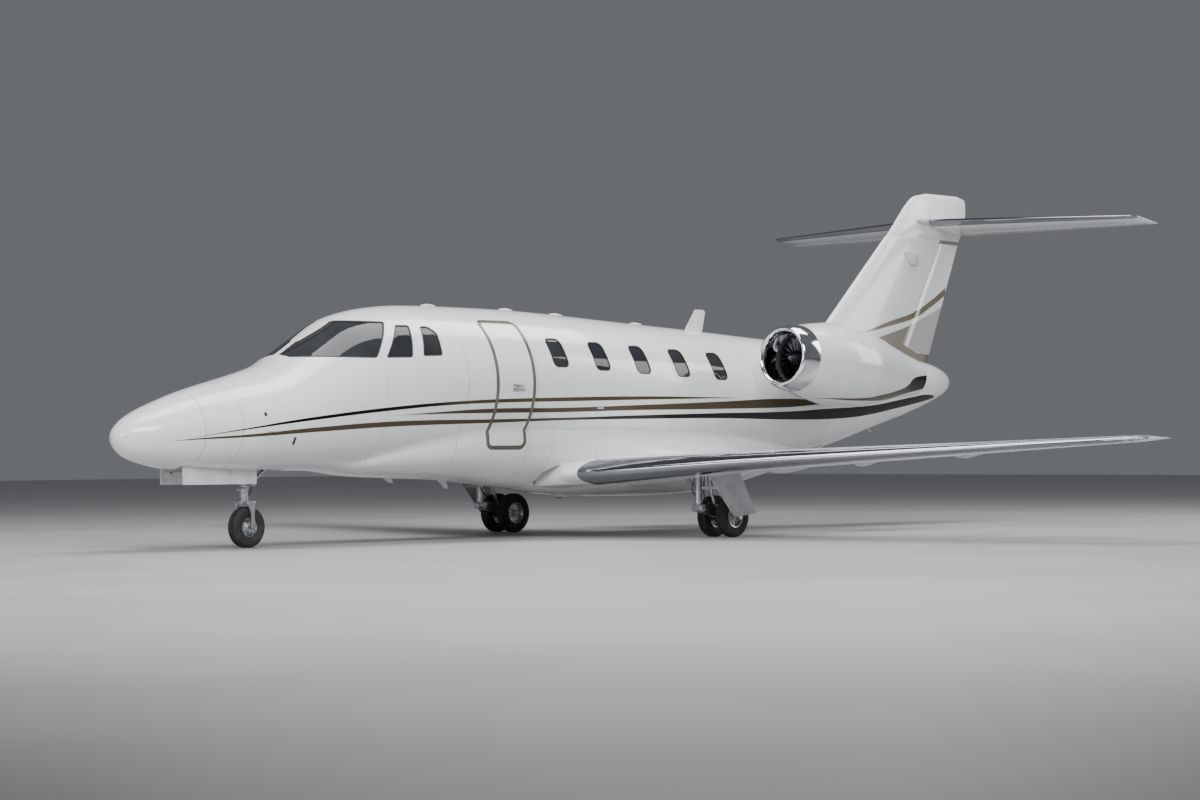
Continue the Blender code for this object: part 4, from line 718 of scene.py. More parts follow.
# %% [markdown]
# ## Nose
# The radome is a composite cap over the radar, and the nose section behind it holds the wheel
# bay. Both are cut by the bay, so that the nose wheel stands in a real hole. A thin gap between
# the pieces shows the joint, as it does on the real nose.

# %% Radome and nose section
NOSE_BAY_X, NOSE_BAY_HALF, NOSE_BAY_TOP, BAY_TOOL_FOOT = (5.985, 7.600), 0.220, 1.240, 0.5


def nose_bay():
    return block(NOSE_BAY_X, (-NOSE_BAY_HALF, NOSE_BAY_HALF), (BAY_TOOL_FOOT, NOSE_BAY_TOP))


radome = cut(hull(NOSE_X, RADOME_SEAM + SEAM), ("DIFFERENCE", nose_bay()))
piece("radome_skin", radome, hull_paint, nodes=["radome"], master=front_master)
nose = cut(hull(RADOME_SEAM - SEAM, COCKPIT_SEAM + SEAM), ("DIFFERENCE", nose_bay()))
piece(
    "nose_skin", nose, hull_paint, nodes=["nose_section"], master=front_master
)
print("nose triangles:", sum(len(p.vertices) - 2 for p in pieces[-1].data.polygons))

# %% [markdown]
# ## Cabin shell, door and glass
# The cabin wall is one closed shell, its outer and inner skins joined at both ends. The door,
# the five cabin windows a side and the cockpit panes are cut through it. The panes and the door
# are cut from bands of the very same skin, so that they stay flush with it.

# %% Outlines of the openings
DOOR_X = (2.420, 3.090)
DOOR_HEAD = ((0.30, 2.72), (1.30, 3.08))
DOOR_SILL = 1.200
DOOR_CORNER = 0.090
WINDOWS = [(1.910 - 0.805 * i, 2.440 - 0.031 * i) for i in range(5)]
WINDOW_HALF = (0.150, 0.195)
WINDOW_LEAN = 0.035
SIDE_PANES = [
    [(4.88, 2.32), (4.47, 2.33), (4.30, 2.75), (4.51, 2.75)],
    [(4.30, 2.35), (3.98, 2.36), (3.93, 2.66), (4.02, 2.74), (4.15, 2.74)],
]
FRONT_PANE = [(6.04, 2.325), (5.01, 2.315), (4.62, 2.79), (5.17, 2.80)]
POST_HALF = 0.045
PANE_REACH, FRONT_REACH = (0.4, 1.3), 1.2
WINDOW_CORNER, PANE_CORNER, LEAST_CORNER = 0.085, 0.035, 0.006


def window_outline(x, z, less):
    wide, high = WINDOW_HALF[0] - less, WINDOW_HALF[1] - less
    return [(x - wide - WINDOW_LEAN, z - high), (x + wide - WINDOW_LEAN, z - high),
            (x + wide, z + high), (x - wide, z + high)]


def inset_outline(outline, less):
    """The outline with each side moved in by the same distance."""
    middle = sum((Vector(p) for p in outline), Vector((0, 0))) / len(outline)
    lines = []
    for first, last in zip(outline, outline[1:] + outline[:1]):
        first, last = Vector(first), Vector(last)
        across = Vector((last.y - first.y, first.x - last.x)).normalized()
        if across.dot(middle - first) < 0:
            across = -across
        lines.append((first + across * less, (last - first).normalized()))
    moved = []
    for (a, da), (b, db) in zip(lines[-1:] + lines[:-1], lines):
        scale = ((b.x - a.x) * db.y - (b.y - a.y) * db.x) / (da.x * db.y - da.y * db.x)
        moved.append(tuple(a + da * scale))
    return moved


def cabin_panes(side, less=0.0):
    low, high = sorted(reach * side for reach in PANE_REACH)
    return together(*(prism(window_outline(x, z, less), "Y", low, high, WINDOW_CORNER - less)
                      for x, z in WINDOWS))


def cockpit_panes(side, less=0.0):
    low, high = sorted(reach * side for reach in PANE_REACH)
    corner = max(PANE_CORNER - less, LEAST_CORNER)
    return together(
        *(prism(inset_outline(pane, less), "Y", low, high, corner) for pane in SIDE_PANES)
    )


def front_panes(less=0.0):
    outline, corner = inset_outline(FRONT_PANE, less), max(PANE_CORNER - less, LEAST_CORNER)
    inner = POST_HALF + less
    return together(*(prism(outline, "Y", low, high, corner)
                      for low, high in ((inner, FRONT_REACH), (-FRONT_REACH, -inner))))


def door_block(grow=0.0, head=0.0):
    (inner_y, inner_z), (outer_y, outer_z) = DOOR_HEAD
    sill = DOOR_SILL - grow
    bm = prism(
        [(inner_y, sill), (outer_y, sill), (outer_y, outer_z + head), (inner_y, inner_z + head)],
        "X",
        DOOR_X[0] - grow,
        DOOR_X[1] + grow,
    )
    corners = [e for e in bm.edges if abs(e.verts[0].co.x - e.verts[1].co.x) < 1e-6
               and abs(e.verts[0].co.y - e.verts[1].co.y) > 0.5]
    return bevelled(bm, corners, DOOR_CORNER + grow, 8, clamp=False)


# %% Cabin shell
def shell_rings():
    fore = [hull_ring(x) for x in stations(COCKPIT_SEAM, FAIRING_SEAM)]
    aft = [hull_ring(x, keel=False) for x in stations(FAIRING_SEAM - 0.005, TAIL_SEAM + SEAM)]
    back = [hull_ring(x, WALL, False) for x in reversed(stations(COCKPIT_SEAM, TAIL_SEAM + SEAM))]
    return fore + aft + back


OUTER_DEPTH = 0.012


def line_inside(obj, master):
    """Faces deeper than the outer skin take the second finish."""
    tree = BVHTree.FromBMesh(master)
    for face in obj.data.polygons:
        if tree.find_nearest(face.center)[3] > OUTER_DEPTH:
            face.material_index = 1


shell = cut(lofted(shell_rings(), closed=True), ("DIFFERENCE", door_block(0.006, 0.014)),
            ("DIFFERENCE", together(cabin_panes(1), cabin_panes(-1))),
            ("DIFFERENCE", together(cockpit_panes(1), cockpit_panes(-1))),
            ("DIFFERENCE", front_panes()))
both_masters = together(front_master.copy(), rear_master.copy())
both_masters.normal_update()
cabin = piece(
    "cabin_skin", shell, [hull_paint, trim_beige], nodes=["cabin_shell"],
    master=both_masters,
)
line_inside(cabin, both_masters)
print("cabin skin faces:", len(cabin.data.polygons))

# %% Aft fuselage
aft = cut(hull(TAIL_SEAM - SEAM, TAIL_X, keel=False),
          ("DIFFERENCE", hull(TAIL_SEAM + 0.01, -6.90, 0.020, False)))
piece("aft_skin", aft, hull_paint, nodes=["aft_fuselage"], master=rear_master)

# %% Glass and seals
PANE_DEPTH, SEAL_DEPTH = (0.008, 0.018), (0.0004, 0.022)


def glaze(name, tool, node, front, rear):
    """Tinted panes with a dark seal round each, both cut from bands of the wall."""
    panes = cut(layer(PANE_DEPTH, front, rear, False), ("INTERSECT", tool(0.010)))
    piece(name, panes, glass, nodes=[node])
    seals = cut(layer(SEAL_DEPTH, front, rear, False), ("INTERSECT", tool(0.0015)),
                ("DIFFERENCE", tool(0.016)))
    piece(f"{name}_seal", seals, seal_black)


for name, side in SIDES:
    glaze(
        f"cabin_glass_{name}",
        lambda less: cabin_panes(side, less),
        f"cabin_windows_{name}",
        2.30,
        -1.75,
    )
    glaze(
        f"cockpit_glass_{name}",
        lambda less: cockpit_panes(side, less),
        f"cockpit_windows_{name}",
        5.2,
        3.7,
    )
glaze("windshield_glass", front_panes, "windshield", COCKPIT_SEAM, 4.4)
print("panes and seals:", count_of("glass"))

# %% [markdown]
# ## Entry door
# The airstair door is hinged along its foot and carries three treads on its inner face. Its
# outer skin is the cabin's own, and an olive-grey band runs round it on both sides of the gap.
# The band could be a stripe in the paint, but as thin strips it follows the door when it opens.

# %% Door and its band
DOOR_MIDDLE = sum(DOOR_X) / 2
STEP_RISES = (1.55, 1.88, 2.21)
foot_relief = block((DOOR_X[0] - 0.1, DOOR_X[1] + 0.1), (0.2, 0.660), (1.0, 1.370))
door = cut(
    layer((0.0, WALL), 3.5, FAIRING_SEAM), ("INTERSECT", door_block()), ("DIFFERENCE", foot_relief)
)
treads = []
for rise in STEP_RISES:
    row = Hull(*smooth_row(HULL, DOOR_MIDDLE))
    reach = row.widest - row.bottom if rise < row.widest else row.top - row.widest
    wall = row.half * math.cos(math.asin((row.widest - rise) / reach)) - WALL / 2
    treads.append(block((DOOR_X[0] + 0.06, DOOR_X[1] - 0.06), (wall - 0.200, wall - 0.02),
                        (rise, rise + 0.035), 0.006))
door_skin = piece(
    "door_skin", door, [hull_paint, trim_beige], body="entry_door",
    nodes=["entry_door"], master=front_master,
)
line_inside(door_skin, front_master)
piece("door_treads", together(*treads), carpet, body="entry_door")
BAND_DEPTH = (-0.0012, 0.004)
band = cut(layer(BAND_DEPTH, 3.5, FAIRING_SEAM), ("INTERSECT", door_block(-0.001, -0.001)),
           ("DIFFERENCE", door_block(-0.030, -0.030)))
piece("door_band", band, surround, body="entry_door", master=front_master)
frame_band = cut(layer(BAND_DEPTH, 3.5, FAIRING_SEAM), ("INTERSECT", door_block(0.026, 0.034)),
                 ("DIFFERENCE", door_block(0.0065, 0.0145)))
bmesh.ops.delete(frame_band, geom=[v for v in frame_band.verts if v.co.y <= 0], context="VERTS")
piece("doorway_band", frame_band, surround, master=front_master)
print("door pieces:", count_of("door"))

# %% [markdown]
# ## Belly fairing
# The fairing is the smooth tub that wraps the wing's middle under the cabin. It starts where the
# keel ends and widens over the wing root. It could be one long box with soft edges, but sections
# that start from the keel's own curve leave no step at the front joint.

# %% Fairing sections
Belly = namedtuple("Belly", "x top shoulder_y shoulder_z foot_y bottom")
BELLY = [
    (1.8945, 1.432, 0.767, 1.081, 0.448, 0.655),
    (1.500, 1.438, 0.880, 1.100, 0.62, 0.602),
    (1.000, 1.440, 1.060, 1.060, 0.86, 0.560),
    (0.200, 1.435, 1.200, 1.000, 1.00, 0.532),
    (-0.600, 1.420, 1.210, 0.990, 1.00, 0.530),
    (-1.300, 1.390, 1.150, 1.000, 0.95, 0.550),
    (-1.900, 1.350, 1.020, 1.020, 0.82, 0.600),
    (-2.600, 1.280, 0.850, 1.060, 0.64, 0.715),
    (-3.300, 1.210, 0.680, 1.080, 0.45, 0.870),
    (-4.000, 1.160, 0.450, 1.120, 0.25, 1.055),
    (-4.300, 1.300, 0.300, 1.250, 0.15, 1.200),
]
BELLY_STEPS, BELLY_RINGS = 30, 70
BELLY_FRONT, BELLY_REAR = BELLY[0][0], BELLY[-1][0]


def belly_ring(x):
    row, skin = Belly(*smooth_row(BELLY, x)), Hull(*smooth_row(HULL, x))
    fall = (skin.widest - row.top) / (skin.widest - skin.bottom)
    edge = skin.half * math.cos(math.asin(min(0.95, fall))) - 0.02 * min(
        1.0, (BELLY_FRONT - x) / 0.3
    )
    bend = (Vector((edge, row.top)), Vector((row.shoulder_y + 0.12, row.shoulder_z)),
            Vector((row.foot_y + 0.15, row.bottom)), Vector((0.0, row.bottom)))
    side = [bezier(bend, i / BELLY_STEPS) for i in range(BELLY_STEPS + 1)]
    points = [Vector((x, p.x, p.y)) for p in side]
    return points + [Vector((p.x, -p.y, p.z)) for p in reversed(points[:-1])]


belly_paint = enamel("belly_enamel")
BELLY_JOINTS = (1.20, 0.30, -0.75, -1.75, -2.80)
masks = [belly_paint.within(belly_paint.x, place, 0.0020) for place in BELLY_JOINTS]
masks += [belly_paint.within(belly_paint.math("ABSOLUTE", belly_paint.y), 0.62, JOINT_HALF)]
panel_lines(belly_paint, masks)
# Painted shade: the fairing darkens in streaks towards its bottom, shade under the belly together
# with some soiling.
streaks = belly_paint.noise(3.2, 6.0, (0.25, 1.6, 1.0))
low_part = belly_paint.span(belly_paint.z, 1.15, 0.60)
soil_and_belly_shade = belly_paint.math("MULTIPLY", belly_paint.span(streaks, 0.45, 0.8), low_part)
belly_paint.colour(
    belly_paint.mix(
        belly_paint.math("MULTIPLY", soil_and_belly_shade, 0.35), belly_paint.base, (0.30, 0.28, 0.25)
    )
)

# %% [markdown]
# ## Wing
# The wing is one lofted skin from tip to tip, with the usual four-digit section. Flaps, ailerons
# and spoilers sit in wells cut through it, so that each can turn about its own hinge. Real skins
# are flush riveted sheets, so the paint carries the sheet joints and fastener rows.

# %% Foil sections
Rib = namedtuple("Rib", "span lead chord height thick")
Foil = namedtuple("Foil", "ribs upright camber fall")
Surface = namedtuple("Surface", "low high hinge")
WING = Foil([Rib(0.000, 2.050, 3.300, 0.800, 0.125), Rib(1.150, 1.800, 3.050, 0.860, 0.130),
             Rib(3.000, 1.120, 2.170, 0.985, 0.125), Rib(8.000, -0.715, 0.735, 1.265, 0.110),
             Rib(8.155, -0.840, 0.560, 1.275, 0.060)], False, 0.012, 0.0)
FIN = Foil([Rib(2.300, -4.030, 3.200, 0.0, 0.105), Rib(2.660, -4.415, 2.970, 0.0, 0.105),
            Rib(4.4097, -6.290, 1.870, 0.0, 0.100)], True, 0.0, 0.0)
TAILPLANE = Foil([Rib(0.000, -7.170, 1.250, 4.690, 0.115), Rib(3.420, -7.785, 0.665, 4.610, 0.100),
                  Rib(3.500, -7.860, 0.590, 4.608, 0.055)], False, 0.0, 0.136)
INBOARD_FLAP, OUTBOARD_FLAP = Surface(1.300, 2.840, 0.74), Surface(3.020, 5.480, 0.74)
AILERON, ELEVATOR = Surface(5.560, 7.760, 0.74), Surface(0.215, 3.380, 0.68)
RUDDER, SPOILER = Surface(2.740, 4.350, 0.738), Surface(3.250, 5.250, 0.60)
SPOILER_REAR, SPOILER_THICK = 0.708, 0.018
EDGE_END, POLISH_START, POLISH_END = 0.06, 1.15, 0.131
EDGE_PLACES = [EDGE_END * (i / 12) ** 2 for i in range(12)]
SKIN_PLACES = [EDGE_END + (1 - EDGE_END) * (i / 26) ** 1.2 for i in range(27)]
RUNNING_GAP, END_GAP = 0.008, 0.010
TRAILING_HALF = 0.003
NOSE_ANGLES = [225 - 6 * i for i in range(16)]


def rib_at(foil, span):
    span = abs(span)
    near = max(
        (r for r in foil.ribs[:-1] if r.span <= span), key=lambda r: r.span, default=foil.ribs[0]
    )
    far = foil.ribs[foil.ribs.index(near) + 1]
    part = (span - near.span) / (far.span - near.span)
    return Rib(*(a + (b - a) * part for a, b in zip(near, far)))


def half_thick(rib, c):
    curve = 0.2969 * math.sqrt(c) - 0.1260 * c - 0.3516 * c**2 + 0.2843 * c**3 - 0.1015 * c**4
    return 5 * rib.thick * rib.chord * curve + TRAILING_HALF * c


def foil_spot(foil, rib, span, c, across):
    x = rib.lead - c * rib.chord
    if foil.upright:
        return Vector((x, across, span))
    rise = 4 * foil.camber * rib.chord * c * (1 - c) - foil.fall * rib.chord * c
    return Vector((x, span, rib.height + rise + across))


def across_foil(foil, fore, aside):
    """A step forward and to the side of a foil: up for a wing, to port for a fin."""
    return Vector((fore, aside, 0) if foil.upright else (fore, 0, aside))


def foil_section(foil, span, places, round_off=1.0):
    rib = rib_at(foil, span)
    top = [foil_spot(foil, rib, span, c, half_thick(rib, c) * round_off) for c in places]
    under = [
        foil_spot(foil, rib, span, c, -half_thick(rib, c) * round_off) for c in places if c > 0
    ]
    return top + under[::-1]


def spans_of(foil, low, high, pitch=0.45):
    count = max(1, round((high - low) / pitch))
    even = {low + (high - low) * i / count for i in range(count + 1)}
    ribs = {r.span for r in foil.ribs if low + 0.02 < r.span < high - 0.02}
    kept = [s for s in even if all(abs(s - r) > 0.08 for r in ribs) or s in (low, high)]
    return sorted({*kept, *ribs})


def tip_rounding(foil, span, run):
    """Thins the last stretch before the tip as a quarter ellipse."""
    end = foil.ribs[-1].span
    beyond = max(0.0, (abs(span) - (end - run)) / run)
    return math.sqrt(max(0.0, 1 - (0.97 * beyond) ** 2))


def foil_spans(foil, low, run):
    end = foil.ribs[-1].span
    tip = [end - run * (1 - t) for t in (0.25, 0.5, 0.7, 0.85, 0.94, 1.0)]
    return spans_of(foil, low, end - run) + tip


def tip_to_tip(foil, run):
    """Spans of a whole foil, from its starboard tip to its port tip."""
    half = foil_spans(foil, 0.0, run)
    return [-s for s in reversed(half[1:])] + half


def foil_skin(foil, spans, places, run):
    """The skin over sections, round at its tip."""
    return lofted([foil_section(foil, s, places, tip_rounding(foil, s, run)) for s in spans])


def hinge_spot(foil, surface, span):
    return foil_spot(foil, rib_at(foil, span), span, surface.hinge, 0.0)


def surface_ends(foil, surface, grow):
    low, high = hinge_spot(foil, surface, surface.low), hinge_spot(foil, surface, surface.high)
    along = (high - low).normalized()
    return [(low - along * grow, -along), (high + along * grow, along)]


def trimmed(bm, ends):
    """Cuts away what lies beyond each plane, and closes the cut."""
    for point, normal in ends:
        done = bmesh.ops.bisect_plane(bm, geom=bm.verts[:] + bm.edges[:] + bm.faces[:], dist=1e-6,
                                      plane_co=point, plane_no=normal, clear_outer=True)
        rim = [e for e in done["geom_cut"] if isinstance(e, bmesh.types.BMEdge)]
        bmesh.ops.contextual_create(bm, geom=rim)
    bmesh.ops.recalc_face_normals(bm, faces=bm.faces[:])
    return bm


def moving_skin(foil, surface, ends=None):
    """A control surface with a round nose about its hinge and a thin tail."""
    rings = []
    for span in spans_of(foil, surface.low - 0.12, surface.high + 0.12, 0.6):
        rib = rib_at(foil, span)
        centre = foil_spot(foil, rib, span, surface.hinge, 0.0)
        tail = [surface.hinge + (1 - surface.hinge) * i / 6 for i in range(7)]
        ring = [foil_spot(foil, rib, span, c, half_thick(rib, c)) for c in tail]
        ring += [foil_spot(foil, rib, span, c, -half_thick(rib, c)) for c in tail[::-1]]
        radius = half_thick(rib, surface.hinge)
        for angle in NOSE_ANGLES:
            fore = -radius * math.cos(math.radians(angle))
            aside = radius * math.sin(math.radians(angle))
            ring.append(centre + across_foil(foil, fore, aside))
        rings.append(ring)
    return trimmed(lofted(rings), ends or surface_ends(foil, surface, 0.0))


def surface_well(foil, surface, ends=None):
    rings = []
    for span in spans_of(foil, surface.low - 0.135, surface.high + 0.135, 3.0):
        rib = rib_at(foil, span)
        centre = foil_spot(foil, rib, span, surface.hinge, 0.0)
        front = half_thick(rib, surface.hinge) + RUNNING_GAP
        corners = [(front, 0.5), (front, -0.5), (-rib.chord, -0.5), (-rib.chord, 0.5)]
        rings.append([centre + across_foil(foil, fore, aside) for fore, aside in corners])
    return trimmed(lofted(rings), ends or surface_ends(foil, surface, END_GAP))


def spoiler_plate(grow=0.0):
    rings = []
    for span in spans_of(WING, SPOILER.low - 0.1, SPOILER.high + 0.1, 0.6):
        rib = rib_at(WING, span)
        front, rear = SPOILER.hinge - grow / rib.chord, SPOILER_REAR + grow / rib.chord
        lift = 0.2 if grow else 0.0
        places = [front + (rear - front) * i / 4 for i in range(5)]
        ring = [foil_spot(WING, rib, span, c, half_thick(rib, c) + lift) for c in places]
        ring += [
            foil_spot(WING, rib, span, c, half_thick(rib, c) - SPOILER_THICK - grow)
            for c in places[::-1]
        ]
        rings.append(ring)
    return trimmed(lofted(rings), surface_ends(WING, SPOILER, grow))


print("wing area:", round(2 * sum((a.chord + b.chord) / 2 * (b.span - a.span)
                                  for a, b in zip(WING.ribs, WING.ribs[1:])), 1), "m2")

# %% Wing paint
def wing_lines(finish, ribs, spars):
    """Chordwise joints at each span, and spar joints that follow the taper, with fasteners."""
    span = finish.math("ABSOLUTE", finish.y)
    masks = [finish.within(span, place, JOINT_HALF) for place in ribs]
    for start, slope in spars:
        line = finish.math("MULTIPLY_ADD", span, slope, start)
        off = finish.math("SUBTRACT", finish.x, line)
        masks.append(finish.within(off, 0.0, JOINT_HALF))
        dots = finish.math("PINGPONG", span, RIVET_PITCH)
        row = finish.within(finish.math("ABSOLUTE", off), RIVET_OFF, RIVET_HALF)
        masks.append(finish.math("MULTIPLY", row, finish.within(dots, RIVET_PITCH / 2, RIVET_HALF)))
    for place in ribs:
        off = finish.math("ABSOLUTE", finish.math("SUBTRACT", span, place))
        row = finish.within(off, RIVET_OFF, RIVET_HALF)
        dots = finish.math("PINGPONG", finish.x, RIVET_PITCH)
        masks.append(finish.math("MULTIPLY", row, finish.within(dots, RIVET_PITCH / 2, RIVET_HALF)))
    return masks


wing_paint = enamel("wing_enamel")
panel_lines(wing_paint, wing_lines(wing_paint, (1.90, 3.00, 4.25, 5.52, 6.70, 7.90),
                                   ((1.87, -0.3765), (0.38, -0.2235))))
# Painted shade: faces that look down are darkened in streaks, shade on the wing's underside
# together with streaked dirt.
below = wing_paint.node("ShaderNodeNewGeometry")
facing = wing_paint.node("ShaderNodeSeparateXYZ", below.outputs["Normal"])
underside = wing_paint.math("LESS_THAN", facing.outputs[2], -0.2)
streak = wing_paint.noise(2.0, 6.0, (0.4, 3.0, 1.0))
underside_shade_and_streaks = wing_paint.math("MULTIPLY", wing_paint.span(streak, 0.45, 0.8), underside)
wing_paint.colour(
    wing_paint.mix(wing_paint.math("MULTIPLY", underside_shade_and_streaks, 0.30), wing_paint.base, (0.38, 0.37, 0.35))
)
surface_paint = enamel("control_surface_enamel")
panel_lines(
    surface_paint,
    [surface_paint.within(surface_paint.math("PINGPONG", surface_paint.y, 0.42), 0.21, 0.0015)],
)
surface_paint.colour(surface_paint.base)

# %% Wing skin, leading edges and all that moves on them
TIP_RUN = 0.155
whole = tip_to_tip(WING, TIP_RUN)
wells = []
for side in (1, -1):
    for surface in (INBOARD_FLAP, OUTBOARD_FLAP, AILERON):
        wells.append(("DIFFERENCE", mirrored(surface_well(WING, surface), side)))
    wells.append(("DIFFERENCE", mirrored(spoiler_plate(RUNNING_GAP), side)))
wing = cut(foil_skin(WING, whole, SKIN_PLACES, TIP_RUN), *wells)
wing_skin = piece("wing_skin", wing, [wing_paint, polished], nodes=["wing"],
                  master=foil_skin(WING, whole, SKIN_PLACES, TIP_RUN))
for face in wing_skin.data.polygons:
    spot = face.center
    rib = rib_at(WING, min(abs(spot.y), 8.15))
    bright = abs(spot.y) > POLISH_START and (rib.lead - spot.x) / rib.chord < POLISH_END
    face.material_index = int(bright)


def wing_block_copy():
    """The whole wing section from tip to tip, as a tool."""
    return foil_skin(WING, tip_to_tip(WING, TIP_RUN), EDGE_PLACES + SKIN_PLACES, TIP_RUN)


belly_rings = [belly_ring(BELLY_FRONT - (BELLY_FRONT - BELLY_REAR) * i / BELLY_RINGS)
               for i in range(BELLY_RINGS + 1)]
fairing = cut(lofted(belly_rings), ("DIFFERENCE", hull(2.6, -4.6, keel=False)),
              ("DIFFERENCE", wing_block_copy()))
piece("belly_skin", fairing, belly_paint, nodes=["belly_fairing"],
      master=lofted(belly_rings, caps=False))
for name, side in SIDES:
    edge = foil_skin(
        WING, foil_spans(WING, 0.90, TIP_RUN), EDGE_PLACES + [EDGE_END - 0.0006], TIP_RUN
    )
    edge_skin = piece(
        f"wing_edge_{name}",
        mirrored(edge, side),
        [polished, wing_paint],
        nodes=[f"wing_leading_edge_{name}"],
    )
    for face in edge_skin.data.polygons:
        face.material_index = int(abs(face.center.y) < POLISH_START)
    for kind, surface in (
        ("inboard_flap", INBOARD_FLAP), ("outboard_flap", OUTBOARD_FLAP), ("aileron", AILERON)
    ):
        piece(f"{kind}_skin_{name}", mirrored(moving_skin(WING, surface), side), surface_paint,
              body=f"{kind}_{name}", nodes=[f"{kind}_{name}"])
    piece(
        f"spoiler_skin_{name}",
        mirrored(spoiler_plate(), side),
        surface_paint,
        body=f"spoiler_{name}",
        nodes=[f"spoiler_{name}"],
    )
print("wing pieces:", count_of("wing", "flap", "aileron", "spoiler"))

# %% [markdown]
# ## Tail
# The fin carries the tailplane on its head, under a bullet cap. The stripes sweep up across the
# fin's foot, above a grey-tan patch. The rudder and the elevators turn in wells like those of the
# wing. The stabilizer's leading edge is polished like the wing's.

# %% Fin, rudder and cap
TAN = (0.150, 0.132, 0.090)


def tail_stripes(finish, patch_tone):
    """The sweeping stripe, and the patch below it in its own tone."""
    ribbon = stripe(finish, FIN_STRIPE, FIN_HEIGHTS)
    patch = stripe(finish, FIN_PATCH, FIN_HEIGHTS)
    finish.colour(finish.mix(ribbon, finish.mix(patch, finish.base, patch_tone), TAN))


fin_paint = enamel("fin_enamel")
fin_masks = [fin_paint.within(fin_paint.z, place, JOINT_HALF) for place in (3.28, 4.02)]
for start in (-2.20, -3.42):
    line = fin_paint.math("MULTIPLY_ADD", fin_paint.z, -1.0, start + 0.06)
    fin_masks.append(fin_paint.within(fin_paint.math("SUBTRACT", fin_paint.x, line), 0.0, 0.0022))
panel_lines(fin_paint, fin_masks)
tail_stripes(fin_paint, (0.215, 0.20, 0.165))
rudder_paint = enamel("rudder_enamel")
panel_lines(
    rudder_paint, [rudder_paint.within(rudder_paint.z, place, JOINT_HALF) for place in (3.36, 4.05)]
)
tail_stripes(rudder_paint, (0.42, 0.42, 0.41))

RUDDER_FOOT_SLOPE = 0.36
foot, head = hinge_spot(FIN, RUDDER, RUDDER.low), hinge_spot(FIN, RUDDER, RUDDER.high)
down, upward = Vector((RUDDER_FOOT_SLOPE, 0, -1)).normalized(), Vector((0, 0, 1))
fin_rings = [foil_section(FIN, s, EDGE_PLACES + SKIN_PLACES)
             for s in spans_of(FIN, FIN.ribs[0].span, FIN.ribs[-1].span, 0.3)]
well = surface_well(FIN, RUDDER, [(foot + down * RUNNING_GAP, down), (head + upward, upward)])
piece(
    "fin_skin",
    cut(lofted(fin_rings), ("DIFFERENCE", well)),
    fin_paint,
    nodes=["fin"],
    master=lofted(fin_rings, caps=False),
)
piece(
    "rudder_skin",
    moving_skin(FIN, RUDDER, [(foot, down), (head, upward)]),
    rudder_paint,
    body="rudder",
    nodes=["rudder"],
)
FIN_CAP = [
    (4.410, -6.300, -8.160, 0.092),
    (4.560, -6.450, -8.250, 0.108),
    (4.750, -6.630, -8.330, 0.110),
    (4.940, -6.820, -8.345, 0.095),
    (5.060, -7.000, -8.330, 0.066),
    (5.120, -7.300, -8.130, 0.018),
]


CAP_POINTS, CAP_RINGS, CAP_HEIGHT = 28, 26, 0.71


def cap_ring(z):
    _, front, rear, half_wide = smooth_row(FIN_CAP, z)
    side = []
    for i in range(CAP_POINTS + 1):
        t = (1 - math.cos(math.pi * i / CAP_POINTS)) / 2
        wide = half_wide * (1 - abs(2 * t**0.7 - 1) ** 2.2)
        side.append(Vector((front - (front - rear) * t, max(wide, 0.004), z)))
    return side + [Vector((p.x, -p.y, z)) for p in reversed(side)]


cap_levels = [FIN_CAP[0][0] + CAP_HEIGHT * (1 - (1 - i / CAP_RINGS) ** 1.6)
              for i in range(CAP_RINGS + 1)]
cap_paint = enamel("cap_enamel")
panel_lines(cap_paint, [cap_paint.within(cap_paint.z, 4.455, JOINT_HALF),
                        cap_paint.within(cap_paint.x, -7.72, JOINT_HALF)])
cap_paint.colour(cap_paint.base)
piece(
    "fin_cap_skin",
    lofted([cap_ring(z) for z in cap_levels]),
    cap_paint,
    nodes=["fin_cap"],
)

# %% Stabilizer and elevators
STAB_RUN = 0.08
whole = tip_to_tip(TAILPLANE, STAB_RUN)
tail_wells = [("DIFFERENCE", mirrored(surface_well(TAILPLANE, ELEVATOR), side)) for side in (1, -1)]
stab_edge = [POLISH_END * (i / 14) ** 2 for i in range(14)]
stab_places = [POLISH_END + (1 - POLISH_END) * (i / 24) ** 1.15 for i in range(25)]
stab_paint = enamel("stabilizer_enamel")
panel_lines(stab_paint, wing_lines(stab_paint, (1.10, 2.30), ((-7.30, -0.180),)))
stab_paint.colour(stab_paint.base)
piece(
    "stabilizer_skin",
    cut(foil_skin(TAILPLANE, whole, stab_places, STAB_RUN), *tail_wells),
    stab_paint,
    nodes=["stabilizer"],
    master=foil_skin(TAILPLANE, whole, stab_places, STAB_RUN),
)
piece(
    "stabilizer_edge",
    foil_skin(TAILPLANE, whole, stab_edge + [POLISH_END - 0.001], STAB_RUN),
    polished,
)
for name, side in SIDES:
    piece(f"elevator_skin_{name}", mirrored(moving_skin(TAILPLANE, ELEVATOR), side), surface_paint,
          body=f"elevator_{name}", nodes=[f"elevator_{name}"])
print("tail pieces:", count_of("fin", "rudder", "stab", "elev"))

# %% [markdown]
# ## Engines
# Two turbofans sit on short pylons behind the cabin. Each cowl is a lathe shape whose lip is a
# bright polished ring. The fan has swept, twisted blades of its own, because a viewer looks
# straight into the inlet, and fixed vanes and a dark core stand behind it.

